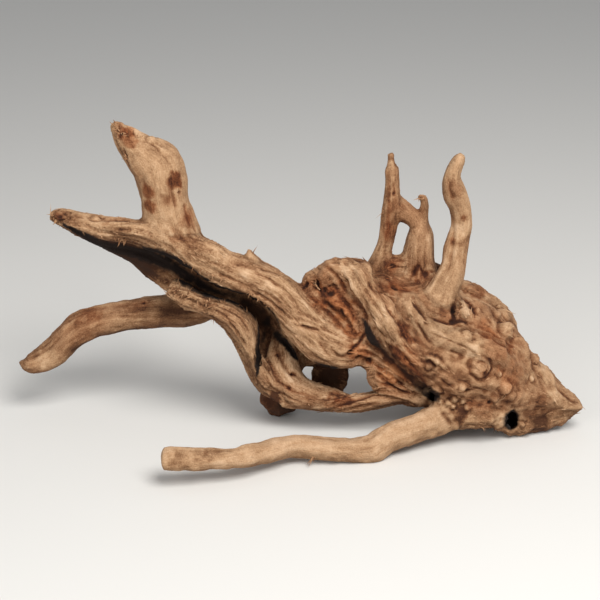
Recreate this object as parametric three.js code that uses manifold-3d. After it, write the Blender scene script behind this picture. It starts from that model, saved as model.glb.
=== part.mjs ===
// A spiderwood root: one piece of dried, split azalea root, lying on a flat surface.
// A hollow trunk runs left from a knotted crown, with a torn slit along its front, and ends in a prong
// and a broken stub. Bare limbs leave the crown and the trunk, and thin shoots stand on top of it.
// Units are millimetres, +Z is up, +X runs from the trunk's tip to the crown and +Y to the back.
import * as THREE from "three";
import { mergeVertices } from "three/addons/utils/BufferGeometryUtils.js";
import Module from "manifold-3d";

// Driving dimensions. A station of a limb is [across, up, back, wide, deep]: across and up are measured on
// a front view in the plane through the middle of the root, back is the depth behind that plane's middle,
// and wide and deep are the section's half sizes across the view and along it.
const EYE_DISTANCE = 1200;
const EYE_TILT = THREE.MathUtils.degToRad(22);
const MIDDLE_HEIGHT = 110;
const FLOOR_TRIM = 1;
const KNOT_SINK = 0.45;
const THINNEST = 0.5;
const WOOD_COLOUR = 0xb08660;
const WOOD_ROUGHNESS = 0.9;

// The trunk is a split shell: an upper wall with the long prong, a back wall, a torn lower wall under the
// slit, and a bowl below it that runs on to the right as a thin strip.
const UPPER_WALL = [
  [-200.5, 67.2, 2, 3.6, 4],
  [-193, 66.8, 2, 7, 7.2],
  [-180, 62.5, 2, 8.3, 10],
  [-156, 58, 2, 9, 13],
  [-130, 55, 3, 9.5, 17],
  [-106, 47, 3, 13, 20],
  [-80, 36, 1, 15.5, 22],
  [-60, 25, 0, 14.5, 22],
  [-39, 17, -1, 15.8, 22],
  [-18, 5.5, -4, 15.8, 22],
  [2, -13.5, -8, 18.5, 22],
  [20, -30, -11, 20, 22],
  [38, -37, -12, 16.5, 20],
  [52, -36, -8, 12.5, 16],
];
const BACK_WALL = [
  [-190, 63, 6, 4, 5],
  [-168, 56, 11, 8.5, 7],
  [-150, 49.8, 15, 10.6, 8],
  [-127, 41.5, 20, 14.6, 9],
  [-107, 29, 23, 17.6, 9],
  [-83, 15, 25, 17, 9],
  [-57, 0, 25, 17, 9],
  [-35, -20, 24, 18.5, 9],
  [-22, -40, 20, 17, 9],
  [-15, -58, 14, 12, 9],
];
const LOWER_WALL = [
  [-103, 9.6, 4, 8, 10],
  [-85, 1.3, -2, 8.6, 15],
  [-64, -8.3, -6, 9.5, 17],
  [-48, -19.7, -8, 12.3, 18],
  [-40.5, -36, -8, 9.6, 16],
  [-36.5, -49.5, -7, 7.6, 14],
  [-28.3, -63.5, -6, 8.5, 13],
  [-14, -73, -5, 9, 12],
];
const BOWL = [
  [-14, -26, 14, 6, 6],
  [-15, -42, 6, 11, 8],
  [-14, -58, -2, 14.5, 10],
  [-6, -71, -6, 13, 12],
  [8, -77, -8, 11, 13],
  [24, -80, -10, 10, 12],
  [40, -83, -12, 7.8, 10],
  [60, -80.3, -14, 7.6, 10],
  [80, -76.5, -15, 7.4, 9],
  [95, -81, -16, 5.5, 7],
  [102, -82.5, -16, 2, 3],
];
const POCKET_WALL = [
  [-18, -26, 16, 10, 8],
  [2, -40, 19, 13, 8],
  [18, -45, 22, 11, 8],
  [23, -55, 23, 16.2, 7],
  [25, -66, 18, 15.6, 7],
  [24, -77, 5, 9, 7],
];
const TORN_FLAP = [
  [47, -40, -10, 12, 10],
  [60, -49.5, -15, 10, 9],
  [67.5, -59.5, -17, 14, 9],
  [82, -68, -18, 10, 8],
  [93, -76, -17, 6, 7],
  [102, -82, -16, 2, 3],
];
const BROKEN_STUB = [
  [-98, 40, 2, 20, 17],
  [-102.5, 57, 3, 21.8, 16],
  [-107.5, 72, 4, 19.5, 15],
  [-109.5, 84, 5, 18.8, 16],
  [-111.5, 96, 6, 20, 17],
  [-115, 106.5, 7, 21, 17],
  [-126, 116.5, 8, 16.8, 14],
  [-137, 126.5, 9, 11.4, 10],
  [-144.5, 136, 10, 6.4, 6],
  [-148.5, 142, 10, 2.5, 2.5],
];
const TRUNK_SPUR = [
  [-37, 27, -4, 8, 9],
  [-39.5, 35, -4, 4.5, 5],
  [-41, 41, -4, 1, 1],
];

// The limbs that leave the trunk and the crown.
const BACK_LIMB = [
  [-46, 2, 26, 10, 9],
  [-70, -3, 31, 11.5, 12],
  [-88, -8, 33, 13, 13],
  [-112, -9.5, 33, 12.5, 13],
  [-136, -12.5, 32, 12.5, 13],
  [-160, -17, 30, 13, 13],
  [-174, -22.5, 28, 13, 13],
  [-184, -29.6, 27, 12, 12],
  [-194, -39.6, 26, 11.2, 11],
  [-206, -47.2, 25, 10.9, 10],
  [-217, -50.6, 24, 8, 8],
  [-225, -49.5, 24, 1.5, 3],
];
const FRONT_LIMB = [
  [126, -86, -24, 14.5, 14],
  [106, -97, -36, 12.3, 12.5],
  [88, -104, -45, 11.7, 11.5],
  [72, -110, -53, 11, 11],
  [57, -119, -60, 10.8, 10.5],
  [40, -120, -63, 10, 10.5],
  [20, -118.6, -64, 9.6, 10],
  [0, -117.3, -65, 9.6, 10],
  [-12, -118.4, -69, 9.6, 10],
  [-30, -122.3, -81, 9, 9.5],
  [-52, -126.7, -94, 8.8, 9],
  [-80, -127.2, -100, 9, 9],
  [-100, -127.2, -103, 9, 9],
  [-109.5, -127.2, -104, 8.5, 8.5],
];
const FOOT_STUB = [
  [-7, -50, 12, 10, 10],
  [-13, -62, 18, 13, 13],
  [-16.5, -75, 20, 16.6, 15],
  [-17.5, -84.5, 19.5, 15, 12],
  [-18.5, -91.5, 18.5, 6, 5],
];

// The thin shoots on top of the crown.
const FORKED_SHOOT = [
  [58.5, 20, 16, 9, 12],
  [63.8, 31, 17, 7.4, 9],
  [66.8, 40, 18, 6.3, 7],
  [69, 48, 18, 6, 6.5],
  [71, 60, 18, 6.4, 6.5],
  [72.5, 72, 18, 7, 6.5],
  [73.5, 84, 18, 6.5, 6],
  [73.7, 96, 18, 5.7, 5],
  [73.6, 104, 18, 5.6, 4.8],
  [73.2, 108.5, 18, 3.6, 3.4],
  [73, 117.8, 18, 2.4, 2.2],
];
const SHOOT_BRIDGE = [
  [73, 79, 18, 8, 5],
  [82.5, 71.5, 18, 8.2, 5.5],
  [91.5, 64.5, 18, 7, 6],
  [97, 55, 18, 7, 6],
];
const MIDDLE_SHOOT = [
  [96, 12, 18, 19, 18],
  [95.5, 22, 18, 15.5, 14],
  [95, 32, 18, 13.2, 12],
  [96, 44, 18, 11.6, 10],
  [96.5, 52, 18, 10.2, 9],
  [97, 60, 18, 7.4, 7],
  [99.3, 68, 18, 4.2, 4.2],
  [99.8, 76, 18, 3.4, 3.4],
  [98.6, 81.2, 17, 3.2, 3],
  [94.5, 83, 16, 1.6, 1.6],
];
const TALL_SHOOT = [
  [108, -16, -2, 20, 18],
  [112, 0, -2, 15, 15],
  [117, 12, -1, 12, 12],
  [121, 20, 0, 10.8, 11],
  [124, 30, 1, 9.7, 10],
  [124.8, 40, 2, 10, 10],
  [126.8, 48, 3, 9.4, 10],
  [129.5, 58, 4, 8.4, 9],
  [129.5, 68, 4, 8, 8.5],
  [128, 76, 4, 8.2, 8.5],
  [124.6, 84, 3, 9.2, 9],
  [122.2, 92, 2, 8.2, 8.5],
  [122, 99, 2, 6, 7],
  [124, 105.5, 2, 5.3, 6],
  [127.6, 112.5, 2, 4.6, 5],
  [130.6, 116.7, 2, 2.4, 3],
];

// The crown: the knotted mass, its pointed end, the skirt it rests on, and the ridges that flow over it.
const CROWN = [
  [40, 4, 12, 18, 20],
  [58, -3, 10, 28, 32],
  [80, -18, 8, 38, 42],
  [104, -32, 8, 45, 48],
  [128, -43, 8, 46.5, 50],
  [149, -53.5, 6, 39, 46],
  [168.8, -66.4, 2, 31.4, 36],
  [187.2, -73.2, -2, 23.4, 26],
  [203.2, -80, -6, 14.2, 18],
  [216.8, -83.6, -9, 8.8, 11],
  [225.2, -86.8, -10, 3, 4],
];
const CROWN_SKIRT = [
  [108, -78, -18, 22, 18],
  [126, -82, -20, 22, 20],
  [145, -82, -20, 20.5, 21],
  [159.2, -84, -19, 19, 16],
  [171.2, -86.8, -13, 22.4, 12],
  [194, -86, -8, 18.5, 9],
  [212, -87, -6, 11, 8],
  [222, -86.5, -8, 4, 5],
];
const REAR_SKIRT = [
  [70, -14, 22, 10, 10],
  [84, -30, 34, 17, 16],
  [100, -49, 43, 18, 18],
  [118, -66.3, 47, 18, 18],
  [140, -67, 44, 16, 18],
  [160, -66, 34, 13, 15],
  [176, -67, 22, 7, 8],
];
const SHOULDER_RIDGE = [
  [4, 12, -2, 5, 6],
  [18.4, 18.4, -4, 9, 10],
  [31.2, 23.6, -8, 10, 11],
  [44, 21.6, -13, 11.5, 12],
  [53.6, 7.2, -18, 11, 12],
  [64, -10.4, -24, 10.5, 12],
  [75.2, -26.4, -29, 10, 12],
  [86.4, -40.8, -32, 9.5, 12],
  [98.4, -55.2, -32, 8, 11],
];
const BROW_RIDGE = [
  [84, -4, -15, 9, 10],
  [98, -20, -23, 9, 10],
  [114, -31, -28, 9, 10],
  [134, -35, -30, 10, 10],
  [152, -42, -29, 9, 10],
  [168, -54, -25, 6, 8],
  [180, -65, -20, 2.5, 4],
];
const REAR_RIDGE = [
  [108, 10, 36, 10, 14],
  [134, 5, 38, 8, 14],
  [151, -4.5, 34, 7.8, 13],
  [162.5, -16.5, 24, 9.2, 14],
  [163, -34, 10, 8, 14],
];
const VALLEY = [
  [1.6, 4.8, -1, 8, 8],
  [18.4, 3.2, -3, 14, 14],
  [37.6, -2.4, -8, 17, 16],
  [53.6, -17.6, -14, 14.5, 14],
  [64, -32, -20, 9, 10],
];
const SHOOT_SADDLE = [
  [58, 22, 16, 8, 8],
  [78, 28, 17, 8.2, 8],
  [98, 24, 17, 8, 8],
];
const REAR_STUMP = [
  [104, 10, 34, 12, 12],
  [108, 22, 34, 9, 9],
  [110, 29, 34, 5, 5],
];

// Hollows cut from the joined root: the long slit into the trunk and its short branch, the gully beside the
// torn flap, the basin among the shoots, and caves.
const SLIT = [
  [-186, 58, -14, 1.5, 18],
  [-160, 44, -13, 5, 23],
  [-140, 40, -12, 6, 26],
  [-120, 34, -12, 8, 28],
  [-104, 27, -12, 9.5, 29],
  [-88, 17, -12, 8.4, 30],
  [-72, 8, -13, 6.8, 30],
  [-56, 3.2, -14, 5.6, 30],
  [-40, -3.2, -14, 7, 29],
  [-27, -14.4, -14, 8, 28],
  [-20, -27, -15, 6.5, 26],
  [-10, -37, -16, 4.5, 25],
  [-2, -46, -17, 3.6, 24],
  [10, -51.5, -18, 3, 23],
  [24, -53.5, -18, 2, 20],
];
const SLIT_BRANCH = [
  [-29, -18, -14, 5, 24],
  [-30.5, -32, -14, 4.4, 24],
  [-33, -44, -15, 3.2, 22],
  [-34, -55, -16, 1.5, 18],
];
const GULLY = [
  [52.8, -20, -36, 3, 8],
  [59.2, -33.6, -38, 4.5, 12],
  [73.6, -48.8, -41, 4.5, 11],
  [91.2, -64.8, -41, 4.5, 11],
  [105.6, -76.8, -36, 6, 16],
];
const BASIN = [
  [59, 12.8, -6, 3, 4],
  [73, 8, -5, 6, 8],
  [90, 10.4, -1, 5.5, 8],
  [104, 15.2, 4, 2.5, 3],
];
const CAVES = [
  [[169, -96.5, -50, 8.8, 6.8], [169, -95, -14, 7.5, 6]],
  [[105, -77, -50, 5, 5], [105, -77, 0, 4, 4]],
  [[5, 13, -16, 2.6, 2.6], [5, 13, 2, 2, 2]],
  [[12.5, 14, -24, 3.2, 3.2], [13, 14, -6, 2.2, 2.2]],
  [[20, 6, -28, 3.6, 2.6], [21, 6, -8, 2.4, 2]],
];

// Burl knots on the crown, as [across, up, size]: each sits where a front sight line meets the crown.
const KNOTS = [
  [160, -14, 10],
  [163, -23, 11],
  [145, -50, 14],
  [104, -50, 11],
  [159, -60, 6],
  [130, -69, 8],
  [156, -77, 8],
  [164, -69, 8],
  [122, -81, 8],
  [112, -79, 6],
  [131, -28, 9],
  [186, -50, 7],
  [178, -58, 7],
];

const UP = new THREE.Vector3(0, Math.sin(EYE_TILT), Math.cos(EYE_TILT));
const SIGHT = new THREE.Vector3(0, Math.cos(EYE_TILT), -Math.sin(EYE_TILT));
const MIDDLE = new THREE.Vector3(0, 0, MIDDLE_HEIGHT);
const EYE = MIDDLE.clone().addScaledVector(SIGHT, -EYE_DISTANCE);

const wasm = await Module();
wasm.setup();

// The point at a given depth on the sight line through a point of the front view, and the scale there.
function sighted(across, up, back) {
  const onView = MIDDLE.clone().addScaledVector(UP, up);
  onView.x = across;
  const scale = (back - EYE.y) / (onView.y - EYE.y);
  return { point: EYE.clone().lerp(onView, scale), scale };
}

// A closed geometry as a solid, with its shared corners merged.
function solidOf(geometry) {
  geometry.deleteAttribute("normal");
  geometry.deleteAttribute("uv");
  const merged = mergeVertices(geometry, 1e-4);
  return new wasm.Manifold(
    new wasm.Mesh({
      numProp: 3,
      vertProperties: merged.attributes.position.array,
      triVerts: new Uint32Array(merged.index.array),
    }),
  );
}

// A limb: a unit cylinder bent along the smooth line through its stations, with flutes that wind round it.
function limb(stations, shape = {}) {
  const { sides = 14, rowsPerSpan = 1, flutes = 3, fluteDepth = 0.06, twist = 0.6, phase = 0 } = shape;
  const places = stations.map(([across, up, back]) => sighted(across, up, back));
  const line = new THREE.CatmullRomCurve3(places.map(({ point }) => point));
  const halves = stations.map(([, , , wide, deep]) => new THREE.Vector3(wide, deep, 0));
  const sizes = new THREE.CatmullRomCurve3(
    halves.map((half, i) => half.multiplyScalar(places[i].scale)),
  );
  const rows = (stations.length - 1) * rowsPerSpan;
  const geometry = new THREE.CylinderGeometry(1, 1, 1, sides, rows);
  const corners = geometry.attributes.position;
  for (let i = 0; i < corners.count; i++) {
    const share = THREE.MathUtils.clamp(corners.getY(i) + 0.5, 0, 1);
    const angle = Math.atan2(corners.getZ(i), corners.getX(i));
    const reach = Math.hypot(corners.getX(i), corners.getZ(i));
    const along = line.getTangent(share);
    const deepAxis = SIGHT.clone().addScaledVector(along, -SIGHT.dot(along)).normalize();
    const wideAxis = new THREE.Vector3().crossVectors(along, deepAxis);
    const size = sizes.getPoint(share);
    const flute = 1 + fluteDepth * Math.sin(flutes * angle + 2 * Math.PI * twist * share + phase);
    const corner = line.getPoint(share);
    corner.addScaledVector(wideAxis, reach * flute * Math.max(size.x, THINNEST) * Math.cos(angle));
    corner.addScaledVector(deepAxis, reach * flute * Math.max(size.y, THINNEST) * Math.sin(angle));
    corners.setXYZ(i, ...corner);
  }
  return solidOf(geometry);
}

// A burl knot: a ball, sunk past its waist in the crown where the sight line meets the crown's front.
function knot([across, up, size], crownGeometry) {
  const { point } = sighted(across, up, 0);
  const ray = new THREE.Raycaster(EYE, point.clone().sub(EYE).normalize());
  const [hit] = ray.intersectObject(new THREE.Mesh(crownGeometry));
  const ball = new THREE.IcosahedronGeometry(size, 1);
  ball.translate(...hit.point.addScaledVector(ray.ray.direction, KNOT_SINK * size));
  return solidOf(ball);
}

function geometryOf(solid) {
  const { vertProperties, triVerts } = solid.getMesh();
  const geometry = new THREE.BufferGeometry();
  geometry.setAttribute("position", new THREE.BufferAttribute(vertProperties, 3));
  geometry.setIndex(new THREE.BufferAttribute(triVerts, 1));
  return geometry;
}

function joinAll(solids) {
  return solids.reduce((whole, solid) => whole.add(solid));
}

const crown = joinAll([
  limb(CROWN, { sides: 26, rowsPerSpan: 2, flutes: 5, fluteDepth: 0.05, twist: 0.5 }),
  limb(CROWN_SKIRT, { sides: 16, flutes: 4 }),
  limb(REAR_SKIRT, { sides: 14, flutes: 3, fluteDepth: 0.1 }),
  limb(SHOULDER_RIDGE, { sides: 16, phase: 1 }),
  limb(BROW_RIDGE, { sides: 12 }),
  limb(REAR_RIDGE, { sides: 12, phase: 2 }),
  ...[VALLEY, SHOOT_SADDLE, REAR_STUMP].map((stations, i) => limb(stations, { sides: 12, phase: i })),
]);
const crownGeometry = geometryOf(crown);
crownGeometry.computeVertexNormals();

const walls = [UPPER_WALL, BACK_WALL, LOWER_WALL, BOWL];
const smallPieces = [POCKET_WALL, TORN_FLAP, TRUNK_SPUR, FOOT_STUB];
const shoots = [FORKED_SHOOT, SHOOT_BRIDGE, MIDDLE_SHOOT, TALL_SHOOT];
const joined = joinAll([
  crown,
  ...KNOTS.map((place) => knot(place, crownGeometry)),
  ...walls.map((stations, i) => limb(stations, { phase: i })),
  ...smallPieces.map((stations, i) => limb(stations, { sides: 12, phase: i })),
  limb(BROKEN_STUB, { sides: 16, fluteDepth: 0.05, twist: 0.3 }),
  limb(BACK_LIMB, { sides: 12, fluteDepth: 0.05 }),
  limb(FRONT_LIMB, { sides: 12, fluteDepth: 0.05, phase: 2 }),
  ...shoots.map((stations, i) => limb(stations, { sides: 10, phase: i })),
]);
const hollowed = [SLIT, SLIT_BRANCH, GULLY, BASIN, ...CAVES].reduce(
  (whole, stations) => whole.subtract(limb(stations, { sides: 10, fluteDepth: 0 })),
  joined,
);

// The feet are worn flat where the root lies on its surface, which is the plane at height zero.
const box = new THREE.Box3().setFromBufferAttribute(geometryOf(hollowed).attributes.position);
const size = box.getSize(new THREE.Vector3());
const slab = new THREE.BoxGeometry(2 * size.x, 2 * size.y, size.z);
slab.translate(0, 0, box.min.z + FLOOR_TRIM - size.z / 2);
const rested = geometryOf(hollowed.subtract(solidOf(slab)));
rested.computeBoundingBox();
rested.computeVertexNormals();
const centre = rested.boundingBox.getCenter(new THREE.Vector3());

const wood = new THREE.MeshStandardMaterial({ color: WOOD_COLOUR, roughness: WOOD_ROUGHNESS });
const root = new THREE.Mesh(rested, wood);
root.name = "spiderwood_root";
root.position.set(-centre.x, -centre.y, -rested.boundingBox.min.z);

const part = new THREE.Group();
part.add(root);
export default part;
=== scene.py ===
import math

import bmesh
import bpy
import numpy as np
from mathutils import Euler, Matrix, Vector, noise
from mathutils.bvhtree import BVHTree


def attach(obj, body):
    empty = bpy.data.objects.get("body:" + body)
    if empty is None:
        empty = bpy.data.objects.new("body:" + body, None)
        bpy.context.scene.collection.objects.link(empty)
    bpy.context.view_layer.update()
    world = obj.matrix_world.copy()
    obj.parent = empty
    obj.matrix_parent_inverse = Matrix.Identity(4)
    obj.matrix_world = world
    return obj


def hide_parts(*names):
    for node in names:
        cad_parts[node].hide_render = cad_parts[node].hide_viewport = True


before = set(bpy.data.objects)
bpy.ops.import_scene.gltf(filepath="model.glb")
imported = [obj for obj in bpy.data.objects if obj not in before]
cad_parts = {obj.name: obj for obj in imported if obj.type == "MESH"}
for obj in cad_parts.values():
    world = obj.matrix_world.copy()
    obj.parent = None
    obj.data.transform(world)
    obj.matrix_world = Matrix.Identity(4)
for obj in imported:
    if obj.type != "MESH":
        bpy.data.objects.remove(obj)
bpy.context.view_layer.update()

# The view: a long lens a little over a metre in front of the root and 22 degrees above it.
# The root's limbs are measured on this front view, in millimetres across and up from its middle,
# so the eye is set first and each place on the view is carried along its sight line.
EYE_DISTANCE = 1200.0
EYE_TILT = math.radians(22)
ORIGIN = np.array((1.5, 23.29, 1.22))
MIDDLE = np.array((0.0, 0.0, 110.0)) + ORIGIN
UP = np.array((0.0, math.sin(EYE_TILT), math.cos(EYE_TILT)))
SIGHT = np.array((0.0, math.cos(EYE_TILT), -math.sin(EYE_TILT)))
EYE = MIDDLE - EYE_DISTANCE * SIGHT
VIEW_WIDTH = 480.0

camera = bpy.data.objects.new("camera", bpy.data.cameras.new("camera"))
camera.data.sensor_width = 36
camera.data.lens = 36 * EYE_DISTANCE / VIEW_WIDTH
camera.location = EYE / 1000
camera.rotation_euler = (math.pi / 2 - EYE_TILT, 0, 0)
camera.data.clip_start, camera.data.clip_end = 0.01, 20
bpy.context.collection.objects.link(camera)
bpy.context.scene.camera = camera


def sighted(across, up, back):
    """The place at a depth on the sight line through a point of the view, and the scale there."""
    on_view = MIDDLE + up * UP + np.array((across, 0, 0))
    scale = (back + ORIGIN[1] - EYE[1]) / (on_view[1] - EYE[1])
    return EYE + scale * (on_view - EYE), scale


# The root: one dried and split azalea root. Its limbs, trunk walls and crown grew as one piece,
# so every limb is swept as a tube and all are fused into one skin, which is then carved along the grain.
# Stations of a limb are (across, up, back, wide, deep): a place on the view, its depth, and half sizes.
UPPER_WALL = [
    (-200.5, 67.2, 2, 3.6, 4), (-193, 66.8, 2, 7, 7.2), (-180, 62.5, 2, 8.3, 10), (-156, 58, 2, 9, 13),
    (-130, 55, 3, 9.5, 17), (-106, 47, 3, 13, 20), (-80, 36, 1, 15.5, 22), (-60, 25, 0, 14.5, 22),
    (-39, 17, -1, 15.8, 22), (-18, 5.5, -4, 15.8, 22), (2, -13.5, -8, 18.5, 22), (20, -30, -11, 20, 22),
    (38, -37, -12, 16.5, 20), (52, -36, -8, 12.5, 16),
]
BACK_WALL = [
    (-190, 63, 6, 4, 5), (-168, 56, 11, 8.5, 7), (-150, 49.8, 15, 10.6, 8), (-127, 41.5, 20, 14.6, 9),
    (-107, 29, 23, 17.6, 9), (-83, 15, 25, 17, 9), (-57, 0, 25, 17, 9), (-35, -20, 24, 18.5, 9),
    (-22, -40, 20, 17, 9), (-15, -58, 14, 12, 9),
]
LOWER_WALL = [
    (-103, 9.6, 4, 8, 10), (-85, 1.3, -2, 8.6, 15), (-64, -8.3, -6, 9.5, 17),
    (-48, -19.7, -8, 12.3, 18), (-40.5, -36, -8, 9.6, 16), (-36.5, -49.5, -7, 7.6, 14),
    (-28.3, -63.5, -6, 8.5, 13), (-14, -73, -5, 9, 12),
]
BOWL = [
    (-14, -26, 14, 6, 6), (-15, -42, 6, 11, 8), (-14, -58, -2, 14.5, 10), (-6, -71, -6, 13, 12),
    (8, -77, -8, 11, 13), (24, -80, -10, 10, 12), (40, -83, -12, 7.8, 10), (60, -80.3, -14, 7.6, 10),
    (80, -76.5, -15, 7.4, 9), (95, -81, -16, 5.5, 7), (102, -82.5, -16, 2, 3),
]
POCKET_WALL = [
    (-18, -26, 16, 10, 8), (2, -40, 19, 13, 8), (18, -45, 22, 11, 8), (23, -55, 23, 16.2, 7),
    (25, -66, 18, 15.6, 7), (24, -77, 5, 9, 7),
]
TORN_FLAP = [
    (47, -40, -10, 12, 10), (60, -49.5, -15, 10, 9), (67.5, -59.5, -17, 14, 9), (82, -68, -18, 10, 8),
    (93, -76, -17, 6, 7), (102, -82, -16, 2, 3),
]
BROKEN_STUB = [
    (-98, 40, 2, 20, 17), (-102.5, 57, 3, 21.8, 16), (-107.5, 72, 4, 19.5, 15),
    (-109.5, 84, 5, 18.8, 16), (-111.5, 96, 6, 20, 17), (-115, 106.5, 7, 21, 17),
    (-126, 116.5, 8, 16.8, 14), (-137, 126.5, 9, 11.4, 10), (-144.5, 136, 10, 6.4, 6),
    (-148.5, 142, 10, 2.5, 2.5),
]
TRUNK_SPUR = [
    (-37, 27, -4, 8, 9), (-39.5, 35, -4, 4.5, 5), (-41, 41, -4, 1, 1),
]
BACK_LIMB = [
    (-46, 2, 26, 10, 9), (-70, -3, 31, 11.5, 12), (-88, -8, 33, 13, 13), (-112, -9.5, 33, 12.5, 13),
    (-136, -12.5, 32, 12.5, 13), (-160, -17, 30, 13, 13), (-174, -22.5, 28, 13, 13),
    (-184, -29.6, 27, 12, 12), (-194, -39.6, 26, 11.2, 11), (-206, -47.2, 25, 10.9, 10),
    (-217, -50.6, 24, 8, 8), (-225, -49.5, 24, 1.5, 3),
]
FRONT_LIMB = [
    (126, -86, -24, 14.5, 14), (106, -97, -36, 12.3, 12.5), (88, -104, -45, 11.7, 11.5),
    (72, -110, -53, 11, 11), (57, -119, -60, 10.8, 10.5), (40, -120, -63, 10, 10.5),
    (20, -118.6, -64, 9.6, 10), (0, -117.3, -65, 9.6, 10), (-12, -118.4, -69, 9.6, 10),
    (-30, -122.3, -81, 9, 9.5), (-52, -126.7, -94, 8.8, 9), (-80, -127.2, -100, 9, 9),
    (-100, -127.2, -103, 9, 9), (-109.5, -127.2, -104, 8.5, 8.5),
]
FOOT_STUB = [
    (-7, -50, 12, 10, 10), (-13, -62, 18, 13, 13), (-16.5, -75, 20, 16.6, 15),
    (-17.5, -84.5, 19.5, 15, 12), (-18.5, -91.5, 18.5, 6, 5),
]
FORKED_SHOOT = [
    (58.5, 20, 16, 9, 12), (63.8, 31, 17, 7.4, 9), (66.8, 40, 18, 6.3, 7), (69, 48, 18, 6, 6.5),
    (71, 60, 18, 6.4, 6.5), (72.5, 72, 18, 7, 6.5), (73.5, 84, 18, 6.5, 6), (73.7, 96, 18, 5.7, 5),
    (73.6, 104, 18, 5.6, 4.8), (73.2, 108.5, 18, 3.6, 3.4), (73, 117.8, 18, 2.4, 2.2),
]
SHOOT_BRIDGE = [
    (73, 79, 18, 8, 5), (82.5, 71.5, 18, 8.2, 5.5), (91.5, 64.5, 18, 7, 6), (97, 55, 18, 7, 6),
]
MIDDLE_SHOOT = [
    (96, 12, 18, 19, 18), (95.5, 22, 18, 15.5, 14), (95, 32, 18, 13.2, 12), (96, 44, 18, 11.6, 10),
    (96.5, 52, 18, 10.2, 9), (97, 60, 18, 7.4, 7), (99.3, 68, 18, 4.2, 4.2), (99.8, 76, 18, 3.4, 3.4),
    (98.6, 81.2, 17, 3.2, 3), (94.5, 83, 16, 1.6, 1.6),
]
TALL_SHOOT = [
    (108, -16, -2, 20, 18), (112, 0, -2, 15, 15), (117, 12, -1, 12, 12), (121, 20, 0, 10.8, 11),
    (124, 30, 1, 9.7, 10), (124.8, 40, 2, 10, 10), (126.8, 48, 3, 9.4, 10), (129.5, 58, 4, 8.4, 9),
    (129.5, 68, 4, 8, 8.5), (128, 76, 4, 8.2, 8.5), (124.6, 84, 3, 9.2, 9), (122.2, 92, 2, 8.2, 8.5),
    (122, 99, 2, 6, 7), (124, 105.5, 2, 5.3, 6), (127.6, 112.5, 2, 4.6, 5), (130.6, 116.7, 2, 2.4, 3),
]
CROWN = [
    (40, 4, 12, 18, 20), (58, -3, 10, 28, 32), (80, -18, 8, 38, 42), (104, -32, 8, 45, 48),
    (128, -43, 8, 46.5, 50), (149, -53.5, 6, 39, 46), (168.8, -66.4, 2, 31.4, 36),
    (187.2, -73.2, -2, 23.4, 26), (203.2, -80, -6, 14.2, 18), (216.8, -83.6, -9, 8.8, 11),
    (225.2, -86.8, -10, 3, 4),
]
CROWN_SKIRT = [
    (108, -78, -18, 22, 18), (126, -82, -20, 22, 20), (145, -82, -20, 20.5, 21),
    (159.2, -84, -19, 19, 16), (171.2, -86.8, -13, 22.4, 12), (194, -86, -8, 18.5, 9),
    (212, -87, -6, 11, 8), (222, -86.5, -8, 4, 5),
]
REAR_SKIRT = [
    (70, -14, 22, 10, 10), (84, -30, 34, 17, 16), (100, -49, 43, 18, 18), (118, -66.3, 47, 18, 18),
    (140, -67, 44, 16, 18), (160, -66, 34, 13, 15), (176, -67, 22, 7, 8),
]
SHOULDER_RIDGE = [
    (4, 12, -2, 5, 6), (18.4, 18.4, -4, 9, 10), (31.2, 23.6, -8, 10, 11), (44, 21.6, -13, 11.5, 12),
    (53.6, 7.2, -18, 11, 12), (64, -10.4, -24, 10.5, 12), (75.2, -26.4, -29, 10, 12),
    (86.4, -40.8, -32, 9.5, 12), (98.4, -55.2, -32, 8, 11),
]
BROW_RIDGE = [
    (84, -4, -15, 9, 10), (98, -20, -23, 9, 10), (114, -31, -28, 9, 10), (134, -35, -30, 10, 10),
    (152, -42, -29, 9, 10), (168, -54, -25, 6, 8), (180, -65, -20, 2.5, 4),
]
REAR_RIDGE = [
    (108, 10, 36, 10, 14), (134, 5, 38, 8, 14), (151, -4.5, 34, 7.8, 13), (162.5, -16.5, 24, 9.2, 14),
    (163, -34, 10, 8, 14),
]
VALLEY = [
    (1.6, 4.8, -1, 8, 8), (18.4, 3.2, -3, 14, 14), (37.6, -2.4, -8, 17, 16),
    (53.6, -17.6, -14, 14.5, 14), (64, -32, -20, 9, 10),
]
SHOOT_SADDLE = [
    (58, 22, 16, 8, 8), (78, 28, 17, 8.2, 8), (98, 24, 17, 8, 8),
]
REAR_STUMP = [
    (104, 10, 34, 12, 12), (108, 22, 34, 9, 9), (110, 29, 34, 5, 5),
]
SLIT = [
    (-186, 58, -14, 1.5, 18), (-160, 44, -13, 5, 23), (-140, 40, -12, 6, 26), (-120, 34, -12, 8, 28),
    (-104, 27, -12, 9.5, 29), (-88, 17, -12, 8.4, 30), (-72, 8, -13, 6.8, 30), (-56, 3.2, -14, 5.6, 30),
    (-40, -3.2, -14, 7, 29), (-27, -14.4, -14, 8, 28), (-20, -27, -15, 6.5, 26),
    (-10, -37, -16, 4.5, 25), (-2, -46, -17, 3.6, 24), (10, -51.5, -18, 3, 23), (24, -53.5, -18, 2, 20),
]
SLIT_BRANCH = [
    (-29, -18, -14, 5, 24), (-30.5, -32, -14, 4.4, 24), (-33, -44, -15, 3.2, 22),
    (-34, -55, -16, 1.5, 18),
]
GULLY = [
    (52.8, -20, -36, 3, 8), (59.2, -33.6, -38, 4.5, 12), (73.6, -48.8, -41, 4.5, 11),
    (91.2, -64.8, -41, 4.5, 11), (105.6, -76.8, -36, 6, 16),
]
CAVES = [
    [(169, -97.5, -50, 10, 7), (169, -95, -8, 8, 6)],
    [(106, -77, -50, 5.5, 5.5), (106, -77, 0, 4, 4)],
]
VOXEL = 1.35


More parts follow.
